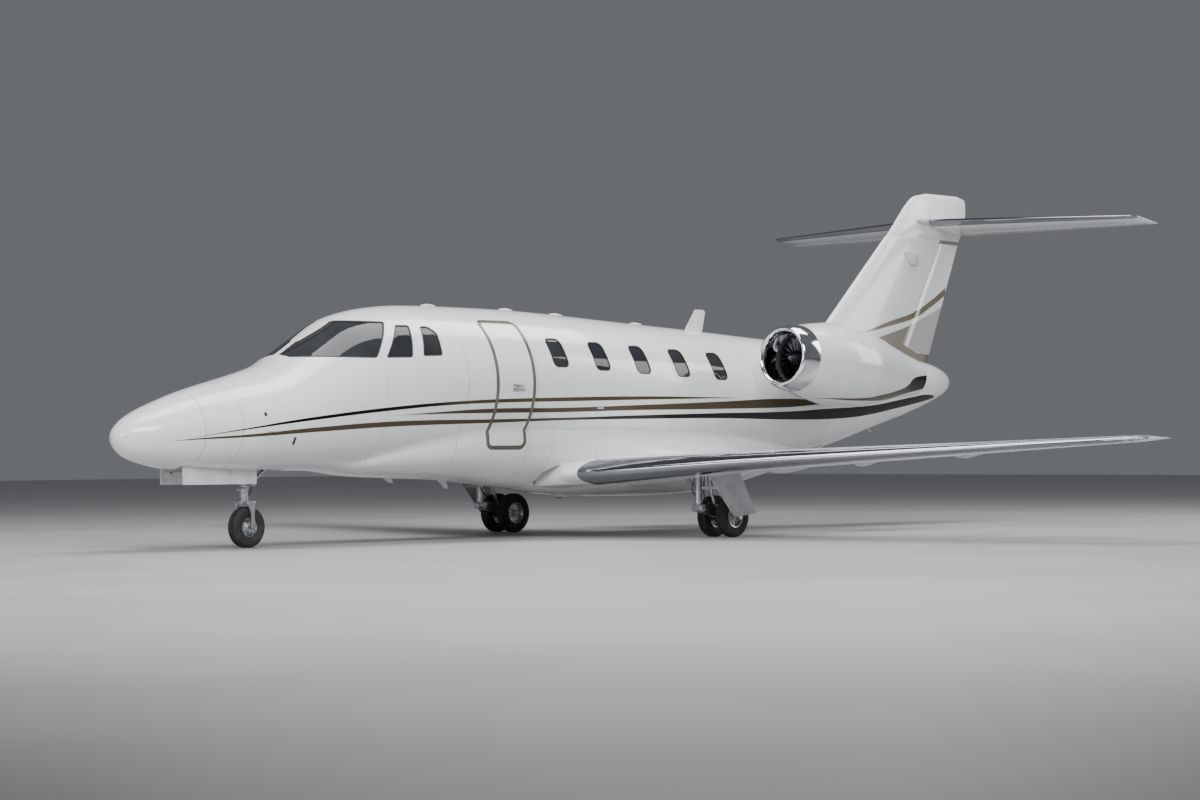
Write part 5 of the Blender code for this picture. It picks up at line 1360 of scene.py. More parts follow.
# %% Engine shapes: (distance aft of the lip, radius)
LIP_X, LIP_Z, ENGINE_Y = -1.820, 2.450, 1.620
ENGINE_TILT = math.radians(5.0)
COWL_OUTER = [
    (0.3006, 0.465), (0.68, 0.536), (1.07, 0.583), (1.45, 0.580), (1.84, 0.515), (2.22, 0.427),
    (2.61, 0.335), (3.00, 0.262),
]
COWL_INNER = [
    (3.00, 0.246), (2.61, 0.304), (1.84, 0.440), (0.80, 0.440), (0.73, 0.357), (0.60, 0.357),
    (0.3006, 0.345),
]
HIGHLIGHT, THROAT, LIP_DEPTH = 0.388, 0.338, 0.300
FAN_FRONT, FAN_HUB, FAN_RADIUS = 0.340, 0.118, 0.335
BLADES, VANES = 22, 30
CORE = [
    (0.500, 0.0), (0.500, 0.108), (0.560, 0.114), (0.605, 0.120), (0.612, 0.3560), (0.700, 0.3560),
    (0.735, 0.250), (2.100, 0.230), (2.35, 0.200), (2.58, 0.125), (2.76, 0.045), (2.850, 0.0),
]


def engine_place(side):
    facing = Matrix.Rotation(math.pi / 2 - ENGINE_TILT, 4, "Y")
    return Matrix.Translation((LIP_X, ENGINE_Y * side, LIP_Z)) @ facing


def eased(rows, pitch):
    """More points along a drawn (aft, radius) line, smoothly joined."""
    start, end = rows[0][0], rows[-1][0]
    count = max(2, round(abs(end - start) / pitch))
    return [tuple(smooth_row(rows, start + (end - start) * i / count)) for i in range(count + 1)]


def aft_profile(points):
    return [(radius, -aft) for aft, radius in points]


def lip_profile():
    outer = []
    for i in range(14):
        t = (i / 13) ** 2
        outer.append((LIP_DEPTH * t, HIGHLIGHT + (0.465 - HIGHLIGHT) * math.sqrt(1 - (1 - t) ** 2)))
    inner = [(0.30, 0.345), (0.24, 0.3425), (0.17, 0.340)]
    for i in range(10):
        t = (1 - i / 10) ** 2
        inner.append((0.10 * t, HIGHLIGHT - (HIGHLIGHT - THROAT) * math.sqrt(1 - (1 - t) ** 2)))
    return outer + inner


def blade(root, tip, chord, stagger, thick=0.05, count=7):
    """A twisted blade along local X, with its chord turned from the axis by each stagger."""
    rings = []
    for i in range(count):
        t = i / (count - 1)
        angle = math.radians(stagger[0] + (stagger[1] - stagger[0]) * t)
        width = chord[0] + (chord[1] - chord[0]) * t
        ring = []
        for j in range(14):
            turn = math.tau * j / 14
            along, over = 0.5 * width * math.cos(turn), 0.5 * thick * width * math.sin(turn)
            over += 0.05 * width * math.cos(turn) ** 2
            radius = root + (tip - root) * t
            spot = Vector((radius, along * math.sin(angle) + over * math.cos(angle),
                           along * math.cos(angle) - over * math.sin(angle)))
            ring.append(spot * (radius / math.hypot(spot.x, spot.y)) if i == count - 1 else spot)
            ring[-1].z = spot.z
        rings.append(ring)
    return lofted(rings)


def bladed(count, at, place, **shape):
    made = []
    for i in range(count):
        spin = Matrix.Rotation(math.tau * i / count, 4, "Z")
        made.append(placed(blade(**shape), place @ Matrix.Translation((0, 0, -at)) @ spin))
    return together(*made)


def cowl_finish():
    """White enamel with the cowl's ring joints, a split line, an oil door and the rising stripe."""
    finish = enamel("nacelle_enamel")
    forward = Vector((math.cos(ENGINE_TILT), 0, math.sin(ENGINE_TILT)))
    offset = LIP_X * forward.x + LIP_Z * forward.z
    aft = finish.math("MULTIPLY_ADD", finish.x, -forward.x, offset)
    aft = finish.math("MULTIPLY_ADD", finish.z, -forward.z, aft)
    height = finish.math(
        "MULTIPLY_ADD", finish.x, -forward.z, finish.math("MULTIPLY", finish.z, forward.x)
    )
    height = finish.math("SUBTRACT", height, LIP_Z * forward.x - LIP_X * forward.z)
    masks = [finish.within(aft, place, 0.0020) for place in (0.98, 1.90, 2.36, 2.80)]
    cowls = finish.within(aft, 1.42, 0.44)
    masks.append(finish.math("MULTIPLY", finish.within(height, -0.02, JOINT_HALF), cowls))
    for middle, half in (((1.22, 0.20), (0.075, 0.060)), ((0.66, -0.22), (0.050, 0.035))):
        outer, inner = (
            finish.math("MULTIPLY", finish.within(aft, middle[0], half[0] + grow, 0.001),
                        finish.within(height, middle[1], half[1] + grow, 0.001))
            for grow in (0.002, -0.002))
        masks.append(finish.math("SUBTRACT", outer, inner))
    panel_lines(finish, masks)
    soot = finish.math(
        "MULTIPLY", finish.span(aft, 2.5, 3.1), finish.span(finish.noise(5.0, 5.0), 0.3, 0.7)
    )
    painted = finish.mix(finish.math("MULTIPLY", soot, 0.35), finish.base, (0.22, 0.20, 0.18))
    tone = finish.mix(finish.span(finish.x, -4.20, -4.50), OLIVE, (0.012, 0.011, 0.009))
    ribbon = stripe(finish, NACELLE_STRIPE, NACELLE_HEIGHTS)
    finish.colour(finish.mix(ribbon, painted, tone))
    finish.dull_where(ribbon)
    return finish


nacelle_paint = cowl_finish()
# Painted shade: the duct liner and the fan blades are coloured near black, darker than their own
# metal, for the shade deep inside the inlet.
liner = satin("inlet_liner", (0.10, 0.10, 0.105), 0.46, 60.0, metallic=0.4)
fan_metal = metal("fan_blades", (0.10, 0.10, 0.11), 0.30, 0.14, 40.0, (1.0, 1.0, 1.0), 0.0003)


def line_duct(obj, place):
    """Faces that look towards the engine's axis take the liner's finish."""
    axis = (place.to_3x3() @ Vector((0, 0, 1))).normalized()
    for face in obj.data.polygons:
        out = face.center - place.translation
        out -= axis * out.dot(axis)
        if face.normal.dot(out.normalized()) < -0.15:
            face.material_index = 1


PYLON_Y, PYLON_X, PYLON_Z, PYLON_HALF = (0.450, 1.400), (-2.750, -4.350), (2.300, 2.310), 0.075
PYLON_PLACES = [(i / 16) ** 1.5 for i in range(17)]
pylon_paint = enamel("pylon_enamel")
panel_lines(
    pylon_paint, [pylon_paint.within(pylon_paint.x, place, JOINT_HALF) for place in (-3.02, -3.95)]
)
pylon_paint.colour(pylon_paint.base)
for name, side in SIDES:
    place = engine_place(side)
    piece(f"inlet_ring_{name}", spun(aft_profile(lip_profile()), place, 96, ring=True), lip_polish,
          nodes=[f"inlet_lip_{name}"])
    outside = eased(COWL_OUTER, 0.06)
    cowl = spun(aft_profile(outside + COWL_INNER), place, 96, ring=True)
    cowl = piece(f"nacelle_skin_{name}", cowl, [nacelle_paint, liner],
                 nodes=[f"nacelle_{name}"])
    line_duct(cowl, place)
    core = together(
        spun(aft_profile(CORE), place, 72),
        bladed(VANES, 0.545, place, root=0.105, tip=0.352, chord=(0.07, 0.09), stagger=(14, 8)),
    )
    piece(f"engine_core_{name}", core, hot_metal, nodes=[f"engine_{name}"])
    hub = [(FAN_FRONT - 0.19, 0.0), (FAN_FRONT - 0.186, 0.010)]
    hub += [
        (FAN_FRONT - 0.19 + 0.19 * t, FAN_HUB * t**0.72)
        for t in (0.1, 0.2, 0.35, 0.5, 0.65, 0.8, 0.92, 1.0)
    ]
    hub += [(FAN_FRONT + 0.10, FAN_HUB), (FAN_FRONT + 0.10, 0.0)]
    wheel = together(spun(aft_profile(hub), place, 48),
                     bladed(BLADES, FAN_FRONT + 0.05, place, root=FAN_HUB - 0.006, tip=FAN_RADIUS,
                            chord=(0.075, 0.125), stagger=(22, 58)))
    piece(
        f"fan_wheel_{name}", wheel, fan_metal, body=f"fan_{name}",
        nodes=[f"fan_{name}"],
    )
    rings = []
    for y, middle in zip(PYLON_Y, PYLON_Z):
        front, rear = PYLON_X
        shape = Rib(0, front, front - rear, 0, 2 * PYLON_HALF / (front - rear))
        top = [
            Vector((front - (front - rear) * c, y * side, middle + half_thick(shape, c)))
            for c in PYLON_PLACES
        ]
        under = [Vector((p.x, p.y, 2 * middle - p.z)) for p in reversed(top[1:])]
        rings.append(top + under)
    solid_cowl = spun(aft_profile([(outside[0][0], 0.0), *((a, r + 0.0005) for a, r in outside),
                                   (outside[-1][0], 0.0)]), place, 96)
    strut = cut(
        lofted(rings), ("DIFFERENCE", solid_cowl), ("DIFFERENCE", hull(-2.0, -5.2, 0.002, False))
    )
    piece(f"pylon_skin_{name}", strut, pylon_paint, nodes=[f"pylon_{name}"])
print("fan blades:", BLADES, "stator vanes:", VANES)

# %% [markdown]
# ## Wheels and tyres
# Aircraft tyres have a rounded tread with a few plain grooves and no blocks. The wheels are
# forged halves with lightening pockets and a ring of tie bolts. All are lathe shapes, with the
# bolts set round them, and their radius is the one that meets the floor at the CAD's height.

# %% Wheels
MAIN_X, MAIN_Y, MAIN_RADIUS = -0.070, 2.050, 0.2760
MAIN_HALF, MAIN_OFFSET, MAIN_RIM = 0.073, 0.165, 0.150
NOSE_X_AXLE, NOSE_RADIUS, NOSE_HALF, NOSE_RIM = 6.430, 0.2508, 0.080, 0.120
TREAD_GROOVES, GROOVE_HALF, GROOVE_DEPTH = (-0.50, -0.17, 0.17, 0.50), 0.035, 0.005


def tyre_shape(radius, half, rim, offset, place):
    wall = [
        (rim, 0.80),
        (rim + 0.010, 0.86),
        (0.62 * rim + 0.38 * radius, 0.985),
        (0.4 * rim + 0.6 * radius, 0.995),
        (0.2 * rim + 0.8 * radius, 0.93),
        (radius - 0.16 * half, 0.80),
        (radius - 0.05 * half, 0.66),
    ]
    tread = []
    for spot in TREAD_GROOVES[::-1]:
        crown, trough = radius - 0.02 * half * spot**2, radius - GROOVE_DEPTH
        tread += [(crown, spot + GROOVE_HALF), (trough, spot + GROOVE_HALF * 0.8),
                  (trough, spot - GROOVE_HALF * 0.8), (crown, spot - GROOVE_HALF)]
    far = [(r, -h) for r, h in reversed(wall)]
    return spun([(r, h * half + offset) for r, h in wall + tread + far], place, 96, ring=True)


def ring_of(count, radius, maker):
    """As many parts as the count, evenly round local Z."""
    out = Matrix.Translation((radius, 0, 0))
    return together(*(placed(maker(), Matrix.Rotation(math.tau * i / count, 4, "Z") @ out)
                      for i in range(count)))


def rim_half(rim, half, offset, outward, place):
    """One dished wheel: flange, web with pockets and bolts, and the hub cap on the outer side."""
    face = [
        (0.0, 0.62), (0.016, 0.62), (0.026, 0.55), (0.034, 0.52), (0.040, 0.30), (rim * 0.52, 0.16),
        (rim * 0.78, 0.22), (rim * 0.86, 0.55), (rim * 0.90, 0.74), (rim * 0.985, 0.80),
        (rim - 0.0004, 0.76),
    ]
    back = [(rim - 0.0004, -0.74), (rim * 0.93, -0.72), (rim * 0.90, -0.40), (rim * 0.80, -0.05),
            (0.045, -0.20), (0.027, -0.44), (0.0, -0.44)]
    body = spun([(r, h * half) for r, h in face + back], Matrix.Identity(4), 72)
    pockets = ring_of(
        9, rim * 0.62, lambda: rod((0, 0, -half), (0, 0, half), rim * 0.095, sides=20)
    )
    body = cut(body, ("DIFFERENCE", pockets))
    bolts = ring_of(
        9, rim * 0.44, lambda: rod((0, 0, half * 0.1), (0, 0, half * 0.34), 0.0062, sides=6)
    )
    whole = together(body, bolts)
    flip = Matrix.Rotation(math.pi if outward < 0 else 0.0, 4, "X")
    return placed(whole, place @ Matrix.Translation((0, 0, offset)) @ flip)


def axle_place(x, y, height):
    return Matrix.Translation((x, y, height)) @ Matrix.Rotation(-math.pi / 2, 4, "X")


wheel_metal = metal("wheel_alloy", (0.44, 0.45, 0.46), 0.36, 0.14, 30.0, (1.0, 1.0, 1.0), 0.0005)
for name, side in SIDES:
    place = axle_place(MAIN_X, MAIN_Y * side, MAIN_RADIUS)
    body = f"main_wheels_{name}"
    rims = [pin(MAIN_X, MAIN_Y * side, MAIN_RADIUS, 0.150, 0.0255, sides=32)]
    for kind, offset in (("outer", MAIN_OFFSET * side), ("inner", -MAIN_OFFSET * side)):
        shape = tyre_shape(MAIN_RADIUS, MAIN_HALF, MAIN_RIM, offset, place)
        piece(f"main_tread_{kind}_{name}", shape, rubber, body=body,
              nodes=[f"main_tyre_{kind}_{name}"])
        rims.append(rim_half(MAIN_RIM, MAIN_HALF, offset, 1 if offset > 0 else -1, place))
    piece(f"main_rims_{name}", together(*rims), wheel_metal, body=body,
          nodes=[f"main_wheel_{name}"])
place = axle_place(NOSE_X_AXLE, 0.0, NOSE_RADIUS)
piece(
    "nose_tread",
    tyre_shape(NOSE_RADIUS, NOSE_HALF, NOSE_RIM, 0.0, place),
    rubber,
    body="nose_wheel",
    nodes=["nose_tyre"],
)
disc = [
    (0.0, 0.135), (0.012, 0.135), (0.0175, 0.130), (0.0175, 0.052), (0.040, 0.040), (0.048, 0.036),
    (0.078, 0.018), (0.098, 0.018), (0.106, 0.052), (0.114, 0.062), (0.1196, 0.060),
]
disc += [(r, -h) for r, h in reversed(disc)]
hub = cut(
    spun(disc, Matrix.Identity(4), 72),
    ("DIFFERENCE", ring_of(8, 0.080, lambda: rod((0, 0, -0.1), (0, 0, 0.1), 0.0095, sides=20))),
)
hub = together(hub, ring_of(8, 0.060, lambda: rod((0, 0, 0.02), (0, 0, 0.036), 0.005, sides=6)),
               ring_of(8, 0.060, lambda: rod((0, 0, -0.02), (0, 0, -0.036), 0.005, sides=6)))
piece(
    "nose_rim", placed(hub, place), wheel_metal, body="nose_wheel",
    nodes=["nose_wheel"],
)
print("wheel pieces:", count_of("rim", "tread"))

# %% [markdown]
# ## Main landing gear
# Each main leg is a trailing link: a stout post under the wing, a link that carries the axle
# behind it, and a shock strut between the two. Hoses run down to the brakes. A grey door hangs
# outboard of each leg and slants back with it.

# %% Hoses and collars
TUBE_SIDES, TUBE_STEPS = 12, 8


def tube(points, radius):
    """A round hose along a smooth path through the points, with closed ends."""
    points = [Vector(p) for p in points]
    ends = [2 * points[0] - points[1], *points, 2 * points[-1] - points[-2]]
    path = []
    for a, b, c, d in zip(ends, ends[1:], ends[2:], ends[3:]):
        for i in range(TUBE_STEPS):
            t = i / TUBE_STEPS
            path.append(0.5 * (2 * b + (c - a) * t + (2 * a - 5 * b + 4 * c - d) * t**2
                               + (3 * b - a - 3 * c + d) * t**3))
    path.append(points[-1])
    side = None
    rings = []
    for i, spot in enumerate(path):
        run = (path[min(i + 1, len(path) - 1)] - path[max(i - 1, 0)]).normalized()
        side = run.orthogonal().normalized() if side is None else (
            side - run * side.dot(run)
        ).normalized()
        other = run.cross(side)
        turns = [math.tau * j / TUBE_SIDES for j in range(TUBE_SIDES)]
        rings.append(
            [spot + radius * (math.cos(turn) * side + math.sin(turn) * other) for turn in turns]
        )
    return lofted(rings)


def collars(start, end, radius, places, width=0.014):
    """Raised rings along a bar, each at its share of the length."""
    start, end = Vector(start), Vector(end)
    along = (end - start).normalized()
    return [
        rod(
            start.lerp(end, t) - along * width / 2,
            start.lerp(end, t) + along * width / 2,
            radius,
            sides=32,
            rounded=0.003,
        )
        for t in places
    ]


def bolts(centre, axis, ring, count, size=0.007, length=0.008):
    """A ring of hexagon heads that stand on a flat face."""
    made = ring_of(count, ring, lambda: rod((0, 0, 0), (0, 0, length), size, sides=6))
    return placed(made, Matrix.Translation(centre) @ facing_along(axis))


# %% Main legs and doors
POST_X, POST_TOP, KNEE_Z, KNEE_HALF = 0.420, 0.915, 0.395, 0.085
PISTON_FOOT, SHOCK_FOOT, SHOCK_HEAD = (0.085, 0.400), (0.150, 0.545), (0.220, 0.905)
DOOR_Y, DOOR_PLATE, DOOR_LINK_Z = 2.370, 0.020, 0.66
DOOR_OUTLINE = [(0.62, 0.86), (-0.02, 0.86), (-0.36, 0.31), (0.08, 0.27)]


def main_leg(side):
    y = MAIN_Y * side
    shock_foot, shock_head = ((x, y, z) for x, z in (SHOCK_FOOT, SHOCK_HEAD))
    post = rod((POST_X, y, 0.385), (POST_X, y, POST_TOP), 0.050, sides=40, rounded=0.006)
    welded = [
        pin(POST_X, y, KNEE_Z, KNEE_HALF, 0.050, sides=40, rounded=0.006),
        pin(POST_X, y, KNEE_Z, 0.100, 0.020, sides=6),
        prism(
            [
                (POST_X + 0.06, 0.440),
                (POST_X + 0.06, 0.350),
                (MAIN_X - 0.02, MAIN_RADIUS - 0.045),
                (MAIN_X - 0.05, MAIN_RADIUS + 0.03),
                (MAIN_X + 0.02, MAIN_RADIUS + 0.075),
                (0.20, 0.43),
            ],
            "Y",
            y - 0.033,
            y + 0.033,
            0.016,
            5,
        ),
        pin(MAIN_X, y, MAIN_RADIUS, 0.050, 0.060, sides=40, rounded=0.004),
        rod(shock_foot, shock_head, 0.040, sides=32, rounded=0.004),
        rod((POST_X, y, 0.60), (POST_X, y - 0.33 * side, 0.905), 0.024, sides=24),
    ]
    fittings = [
        pin(PISTON_FOOT[0], y, PISTON_FOOT[1], 0.045, 0.022, sides=24, rounded=0.002),
        block((POST_X - 0.085, POST_X + 0.085), (y - 0.10, y + 0.10), (0.850, 0.905), 0.010),
        *collars((POST_X, y, 0.40), (POST_X, y, POST_TOP), 0.062, (0.16, 0.40, 0.64, 0.92), 0.022),
        *collars(shock_foot, shock_head, 0.047, (0.04, 0.55), 0.018),
        bolts((POST_X, y + KNEE_HALF, KNEE_Z), (0, 1, 0), 0.034, 6),
        bolts((POST_X, y - KNEE_HALF, KNEE_Z), (0, -1, 0), 0.034, 6),
    ]
    bore = pin(MAIN_X, y, MAIN_RADIUS, 0.2, 0.0315, sides=40)
    leg = cut(post, *(("UNION", part) for part in welded), ("DIFFERENCE", bore))
    brakes = []
    for out in (1, -1):
        disc = rod(
            (MAIN_X, y + 0.055 * out, MAIN_RADIUS),
            (MAIN_X, y + 0.092 * out, MAIN_RADIUS),
            0.096,
            sides=56,
            rounded=0.004,
        )
        ring = rod(
            (MAIN_X, y + 0.03 * out, MAIN_RADIUS),
            (MAIN_X, y + 0.12 * out, MAIN_RADIUS),
            0.034,
            sides=40,
        )
        brakes.append(cut(disc, ("DIFFERENCE", ring)))
    calipers = [block((MAIN_X + 0.035, MAIN_X + 0.105), sorted((y + 0.050 * out, y + 0.098 * out)),
                      (MAIN_RADIUS + 0.02, MAIN_RADIUS + 0.10), 0.008) for out in (1, -1)]
    return together(leg, *fittings, *calipers), together(*brakes)


for name, side in SIDES:
    leg, brakes = main_leg(side)
    y = MAIN_Y * side
    piece(f"main_strut_{name}", leg, steel, nodes=[f"main_leg_{name}"])
    piece(f"main_brakes_{name}", brakes, dark_metal)
    piston = rod((PISTON_FOOT[0], y, PISTON_FOOT[1]), (0.155, y, 0.570), 0.021, sides=32)
    piece(f"main_piston_{name}", piston, chrome_rod)
    hoses = together(
        tube(
            [
                (0.10, y + 0.03 * side, 0.37),
                (0.20, y + 0.055 * side, 0.43),
                (0.34, y + 0.06 * side, 0.47),
                (0.385, y + 0.062 * side, 0.60),
                (0.375, y + 0.06 * side, 0.75),
                (0.36, y + 0.05 * side, 0.90),
            ],
            0.008,
        ),
        tube(
            [
                (0.02, y - 0.05 * side, 0.36),
                (0.16, y - 0.06 * side, 0.45),
                (0.33, y - 0.07 * side, 0.50),
                (0.47, y - 0.06 * side, 0.62),
                (0.47, y - 0.045 * side, 0.78),
                (0.45, y - 0.04 * side, 0.90),
            ],
            0.007,
        ),
    )
    piece(f"main_hoses_{name}", hoses, hose_black)
    outer = sorted((DOOR_Y * side, (DOOR_Y + DOOR_PLATE) * side))
    plate = prism(DOOR_OUTLINE, "Y", *outer, 0.035, 6)
    plate = cut(plate, ("DIFFERENCE", wing_block_copy()))
    link_ends = ((MAIN_Y + 0.0615) * side, (DOOR_Y + DOOR_PLATE / 2) * side)
    pin_y = (DOOR_Y - 0.012) * side
    links = [
        rod(
            (POST_X, link_ends[0], DOOR_LINK_Z),
            (POST_X, link_ends[1], DOOR_LINK_Z),
            0.016,
            sides=20,
        ),
        rod(
            (POST_X - 0.05, pin_y, DOOR_LINK_Z),
            (POST_X + 0.05, pin_y, DOOR_LINK_Z),
            0.018,
            sides=20,
            rounded=0.003,
        ),
    ]
    inner_y = sorted(((DOOR_Y - 0.010) * side, (DOOR_Y + 0.002) * side))
    ribs = [prism([(0.44, 0.80), (0.40, 0.80), (0.02, 0.34), (0.06, 0.34)], "Y", *inner_y),
            prism([(0.20, 0.80), (0.16, 0.80), (-0.20, 0.36), (-0.16, 0.36)], "Y", *inner_y)]
    piece(f"main_door_{name}", together(plate, *links, *ribs), door_grey,
          nodes=[f"main_gear_door_{name}"])
print("main gear pieces:", count_of("main_"))

# %% [markdown]
# ## Nose landing gear
# The nose leg hangs in its bay on a cross trunnion, braced from behind. Its fork turns with the
# wheel below a steering collar with its cross rams, and hoses run up the back of the leg. A pair
# of long doors stands open along the bay.

# %% Nose leg and fork
STEER_X, CROWN_Z = NOSE_X_AXLE + 0.040, 0.600
BRACE_X, BRACE_Z, TRUNNION_Z, RAM_Z = NOSE_BAY_X[0] + 0.04, 1.05, 1.12, 0.775
bay_half, bay_top = NOSE_BAY_HALF - TOUCH, NOSE_BAY_TOP - TOUCH
leg_parts = [
    rod((STEER_X, 0, CROWN_Z + TOUCH), (STEER_X, 0, bay_top), 0.050, sides=48, rounded=0.004),
    pin(BRACE_X, 0, BRACE_Z, bay_half, 0.028, sides=32),
    pin(STEER_X, 0, TRUNNION_Z, bay_half, 0.040, sides=40),
    rod((STEER_X, 0.0, 0.70), (BRACE_X, 0.0, BRACE_Z), 0.026, sides=32),
    *collars(
        (STEER_X, 0, CROWN_Z),
        (STEER_X, 0, NOSE_BAY_TOP),
        0.058,
        (0.03, 0.10, 0.24, 0.52, 0.74),
        0.020,
    ),
    pin(STEER_X - 0.075, 0, RAM_Z, 0.10, 0.026, sides=32, rounded=0.004),
    pin(STEER_X - 0.075, 0, RAM_Z, 0.125, 0.014, sides=24),
    block((STEER_X - 0.085, STEER_X + 0.01), (-0.030, 0.030), (0.735, 0.815), 0.008),
    block((STEER_X - 0.02, STEER_X + 0.075), (-0.055, 0.055), (0.700, 0.735), 0.006),
    bolts((STEER_X, 0, CROWN_Z + 0.045), (0, 0, 1), 0.048, 8, 0.005, 0.006),
]
piece("nose_strut", together(*leg_parts), steel, nodes=["nose_leg"])
fork_parts = [
    rod((STEER_X, 0, 0.535), (STEER_X, 0, CROWN_Z), 0.056, sides=48, rounded=0.004),
    block((NOSE_X_AXLE - 0.045, STEER_X + 0.05), (-0.133, 0.133), (0.537, 0.575), 0.010),
    block((STEER_X + 0.03, STEER_X + 0.068), (-0.035, 0.035), (0.545, 0.592), 0.006),
]
for side in (1, -1):
    low, high = sorted((0.107 * side, 0.131 * side))
    arm = prism(
        [
            (NOSE_X_AXLE - 0.034, NOSE_RADIUS - 0.034),
            (NOSE_X_AXLE + 0.034, NOSE_RADIUS - 0.034),
            (NOSE_X_AXLE + 0.030, 0.40),
            (STEER_X + 0.036, 0.56),
            (NOSE_X_AXLE - 0.036, 0.56),
            (NOSE_X_AXLE - 0.020, 0.40),
        ],
        "Y",
        low,
        high,
        0.012,
        5,
    )
    bore = pin(NOSE_X_AXLE, 0, NOSE_RADIUS, 0.2, 0.0235, sides=40)
    fork_parts.append(cut(arm, ("DIFFERENCE", bore)))
    fork_parts.append(bolts((STEER_X, 0.095 * side, 0.575), (0, 0, 1), 0.014, 3, 0.004, 0.004))
piece(
    "nose_fork_arms", together(*fork_parts), steel, body="nose_fork",
    nodes=["nose_fork"],
)
piece(
    "nose_hoses",
    together(
        tube(
            [
                (STEER_X - 0.055, 0.03, 0.64),
                (STEER_X - 0.075, 0.05, 0.72),
                (STEER_X - 0.070, 0.055, 0.88),
                (STEER_X - 0.055, 0.05, 1.05),
                (STEER_X - 0.05, 0.06, 1.22),
            ],
            0.007,
        ),
        tube(
            [
                (STEER_X - 0.055, -0.03, 0.64),
                (STEER_X - 0.080, -0.045, 0.74),
                (STEER_X - 0.066, -0.05, 0.90),
                (STEER_X - 0.055, -0.05, 1.06),
                (STEER_X - 0.05, -0.06, 1.22),
            ],
            0.006,
        ),
    ),
    hose_black,
)

# %% Nose doors and taxi lamp
BAY_DOOR_X, BAY_DOOR_Z = (6.450, 7.580), (0.780, 1.060)
for name, side in SIDES:
    outer = bay_half * side
    low, high = sorted((outer, outer - DOOR_PLATE * side))
    panel = prism(rectangle(BAY_DOOR_X, BAY_DOOR_Z), "Y", low, high, 0.014, 4)
    inner_y = sorted((outer - (DOOR_PLATE - 0.001) * side, outer - (DOOR_PLATE + 0.010) * side))
    stiffeners = [
        block((x, x + 0.03), inner_y, (0.80, 1.04), 0.003) for x in (6.58, 6.86, 7.14, 7.42)
    ]
    stiffeners.append(block((6.50, 7.53), inner_y, (0.905, 0.935), 0.003))
    piece(f"nose_door_{name}", together(panel, *stiffeners), gear_white,
          nodes=[f"nose_gear_door_{name}"])
bay_parts = [block((6.05, 7.55), (y - 0.012, y + 0.012), (NOSE_BAY_TOP - 0.020, bay_top), 0.003)
             for y in (-0.12, 0.12)]
bay_parts += [
    tube([(6.1, y, 1.21), (6.5, y + 0.01, 1.20), (6.9, y - 0.01, 1.205), (7.5, y, 1.21)], 0.008)
    for y in (-0.17, 0.17, 0.185)
]
piece("nose_bay_lines", together(*bay_parts), gear_white)
lamp_place = Matrix.Translation((STEER_X + 0.045, 0, 0.98)) @ Matrix.Rotation(math.pi / 2, 4, "Y")
piece(
    "taxi_lamp",
    spun(
        [
            (0.0, -0.045), (0.030, -0.042), (0.050, -0.015), (0.054, 0.012), (0.050, 0.016),
            (0.046, 0.006), (0.0, 0.004),
        ],
        lamp_place,
        40,
    ),
    chrome_rod,
)
piece(
    "taxi_lamp_lens",
    spun(
        [(0.0, 0.006), (0.045, 0.008), (0.045, 0.012), (0.030, 0.018), (0.0, 0.021)], lamp_place, 40
    ),
    lens_clear,
)
print("nose gear pieces:", count_of("nose_", "lamp"))

# %% [markdown]
# ## Cabin furniture
# The floor and the rear bulkhead follow the inside of the wall. The instrument panel crosses the
# cockpit with three dark displays under a glareshield, and a pedestal runs back between the
# pilots. Little of it shows through the dark glass, but the open door gives a clear view.

# %% Floor and bulkhead
FLOOR_TOP, FLOOR_THICK, FLOOR_FRONT, BULKHEAD_X, BULKHEAD_THICK = 1.330, 0.050, 5.300, -2.600, 0.050


def inside_tool():
    return hull(COCKPIT_SEAM - 0.010, TAIL_SEAM + 0.004, WALL + TOUCH, False)


plate = block((BULKHEAD_X, FLOOR_FRONT), (-1.2, 1.2), (FLOOR_TOP - FLOOR_THICK, FLOOR_TOP))
wall = block((BULKHEAD_X - BULKHEAD_THICK, BULKHEAD_X + 0.001), (-1.2, 1.2), (0.9, 3.0))
notch = block((DOOR_X[0] - 0.06, DOOR_X[1] + 0.06), (0.46, 1.2), (1.0, 1.5))
floor_mesh = cut(plate, ("UNION", wall), ("INTERSECT", inside_tool()), ("DIFFERENCE", notch))
cabin_deck = piece(
    "cabin_deck", floor_mesh, [carpet, trim_beige], nodes=["cabin_floor"]
)
for face in cabin_deck.data.polygons:
    face.material_index = int(face.center.x < BULKHEAD_X + 0.01)
rails = [
    block((-1.34, 2.20), (y - 0.016, y + 0.016), (FLOOR_TOP + 0.0215, FLOOR_TOP + 0.026), 0.002)
    for y in (-0.41, 0.41)
]
piece("seat_rails", together(*rails), steel)

# %% Instrument panel
outline = [(5.02, 1.80), (5.10, 2.20), (5.02, 2.26), (5.42, 2.28), (5.42, 1.72)]
panel = cut(prism(outline, "Y", -1.1, 1.1), ("INTERSECT", inside_tool()))
pedestal = prism(
    [
        (5.20, FLOOR_TOP + 0.0004),
        (4.62, FLOOR_TOP + 0.0004),
        (4.62, 1.66),
        (5.05, 1.84),
        (5.20, 1.9),
    ],
    "Y",
    -0.14,
    0.14,
    0.010,
    3,
)
knobs = [rod((5.030 + 0.02 * i % 0.04, y, 1.86), (5.004, y, 1.866), 0.012, sides=16)
         for i, y in enumerate((-0.62, -0.20, 0.20, 0.62))]
levers = [
    block((4.78, 4.80), (y - 0.006, y + 0.006), (1.72, 1.80), 0.004)
    for y in (-0.05, -0.02, 0.02, 0.05)
]
piece(
    "instrument_board",
    together(panel, pedestal, *knobs, *levers),
    panel_black,
    nodes=["instrument_panel"],
)
screen = Finish("display_glass", (0.010, 0.014, 0.020), 0.08, Coat_Weight=1.0)
rows = screen.math("PINGPONG", screen.z, 0.018)
lit = screen.math("MULTIPLY", screen.within(rows, 0.009, 0.0012, 0.001),
                  screen.span(screen.noise(22.0, 2.0), 0.50, 0.56))
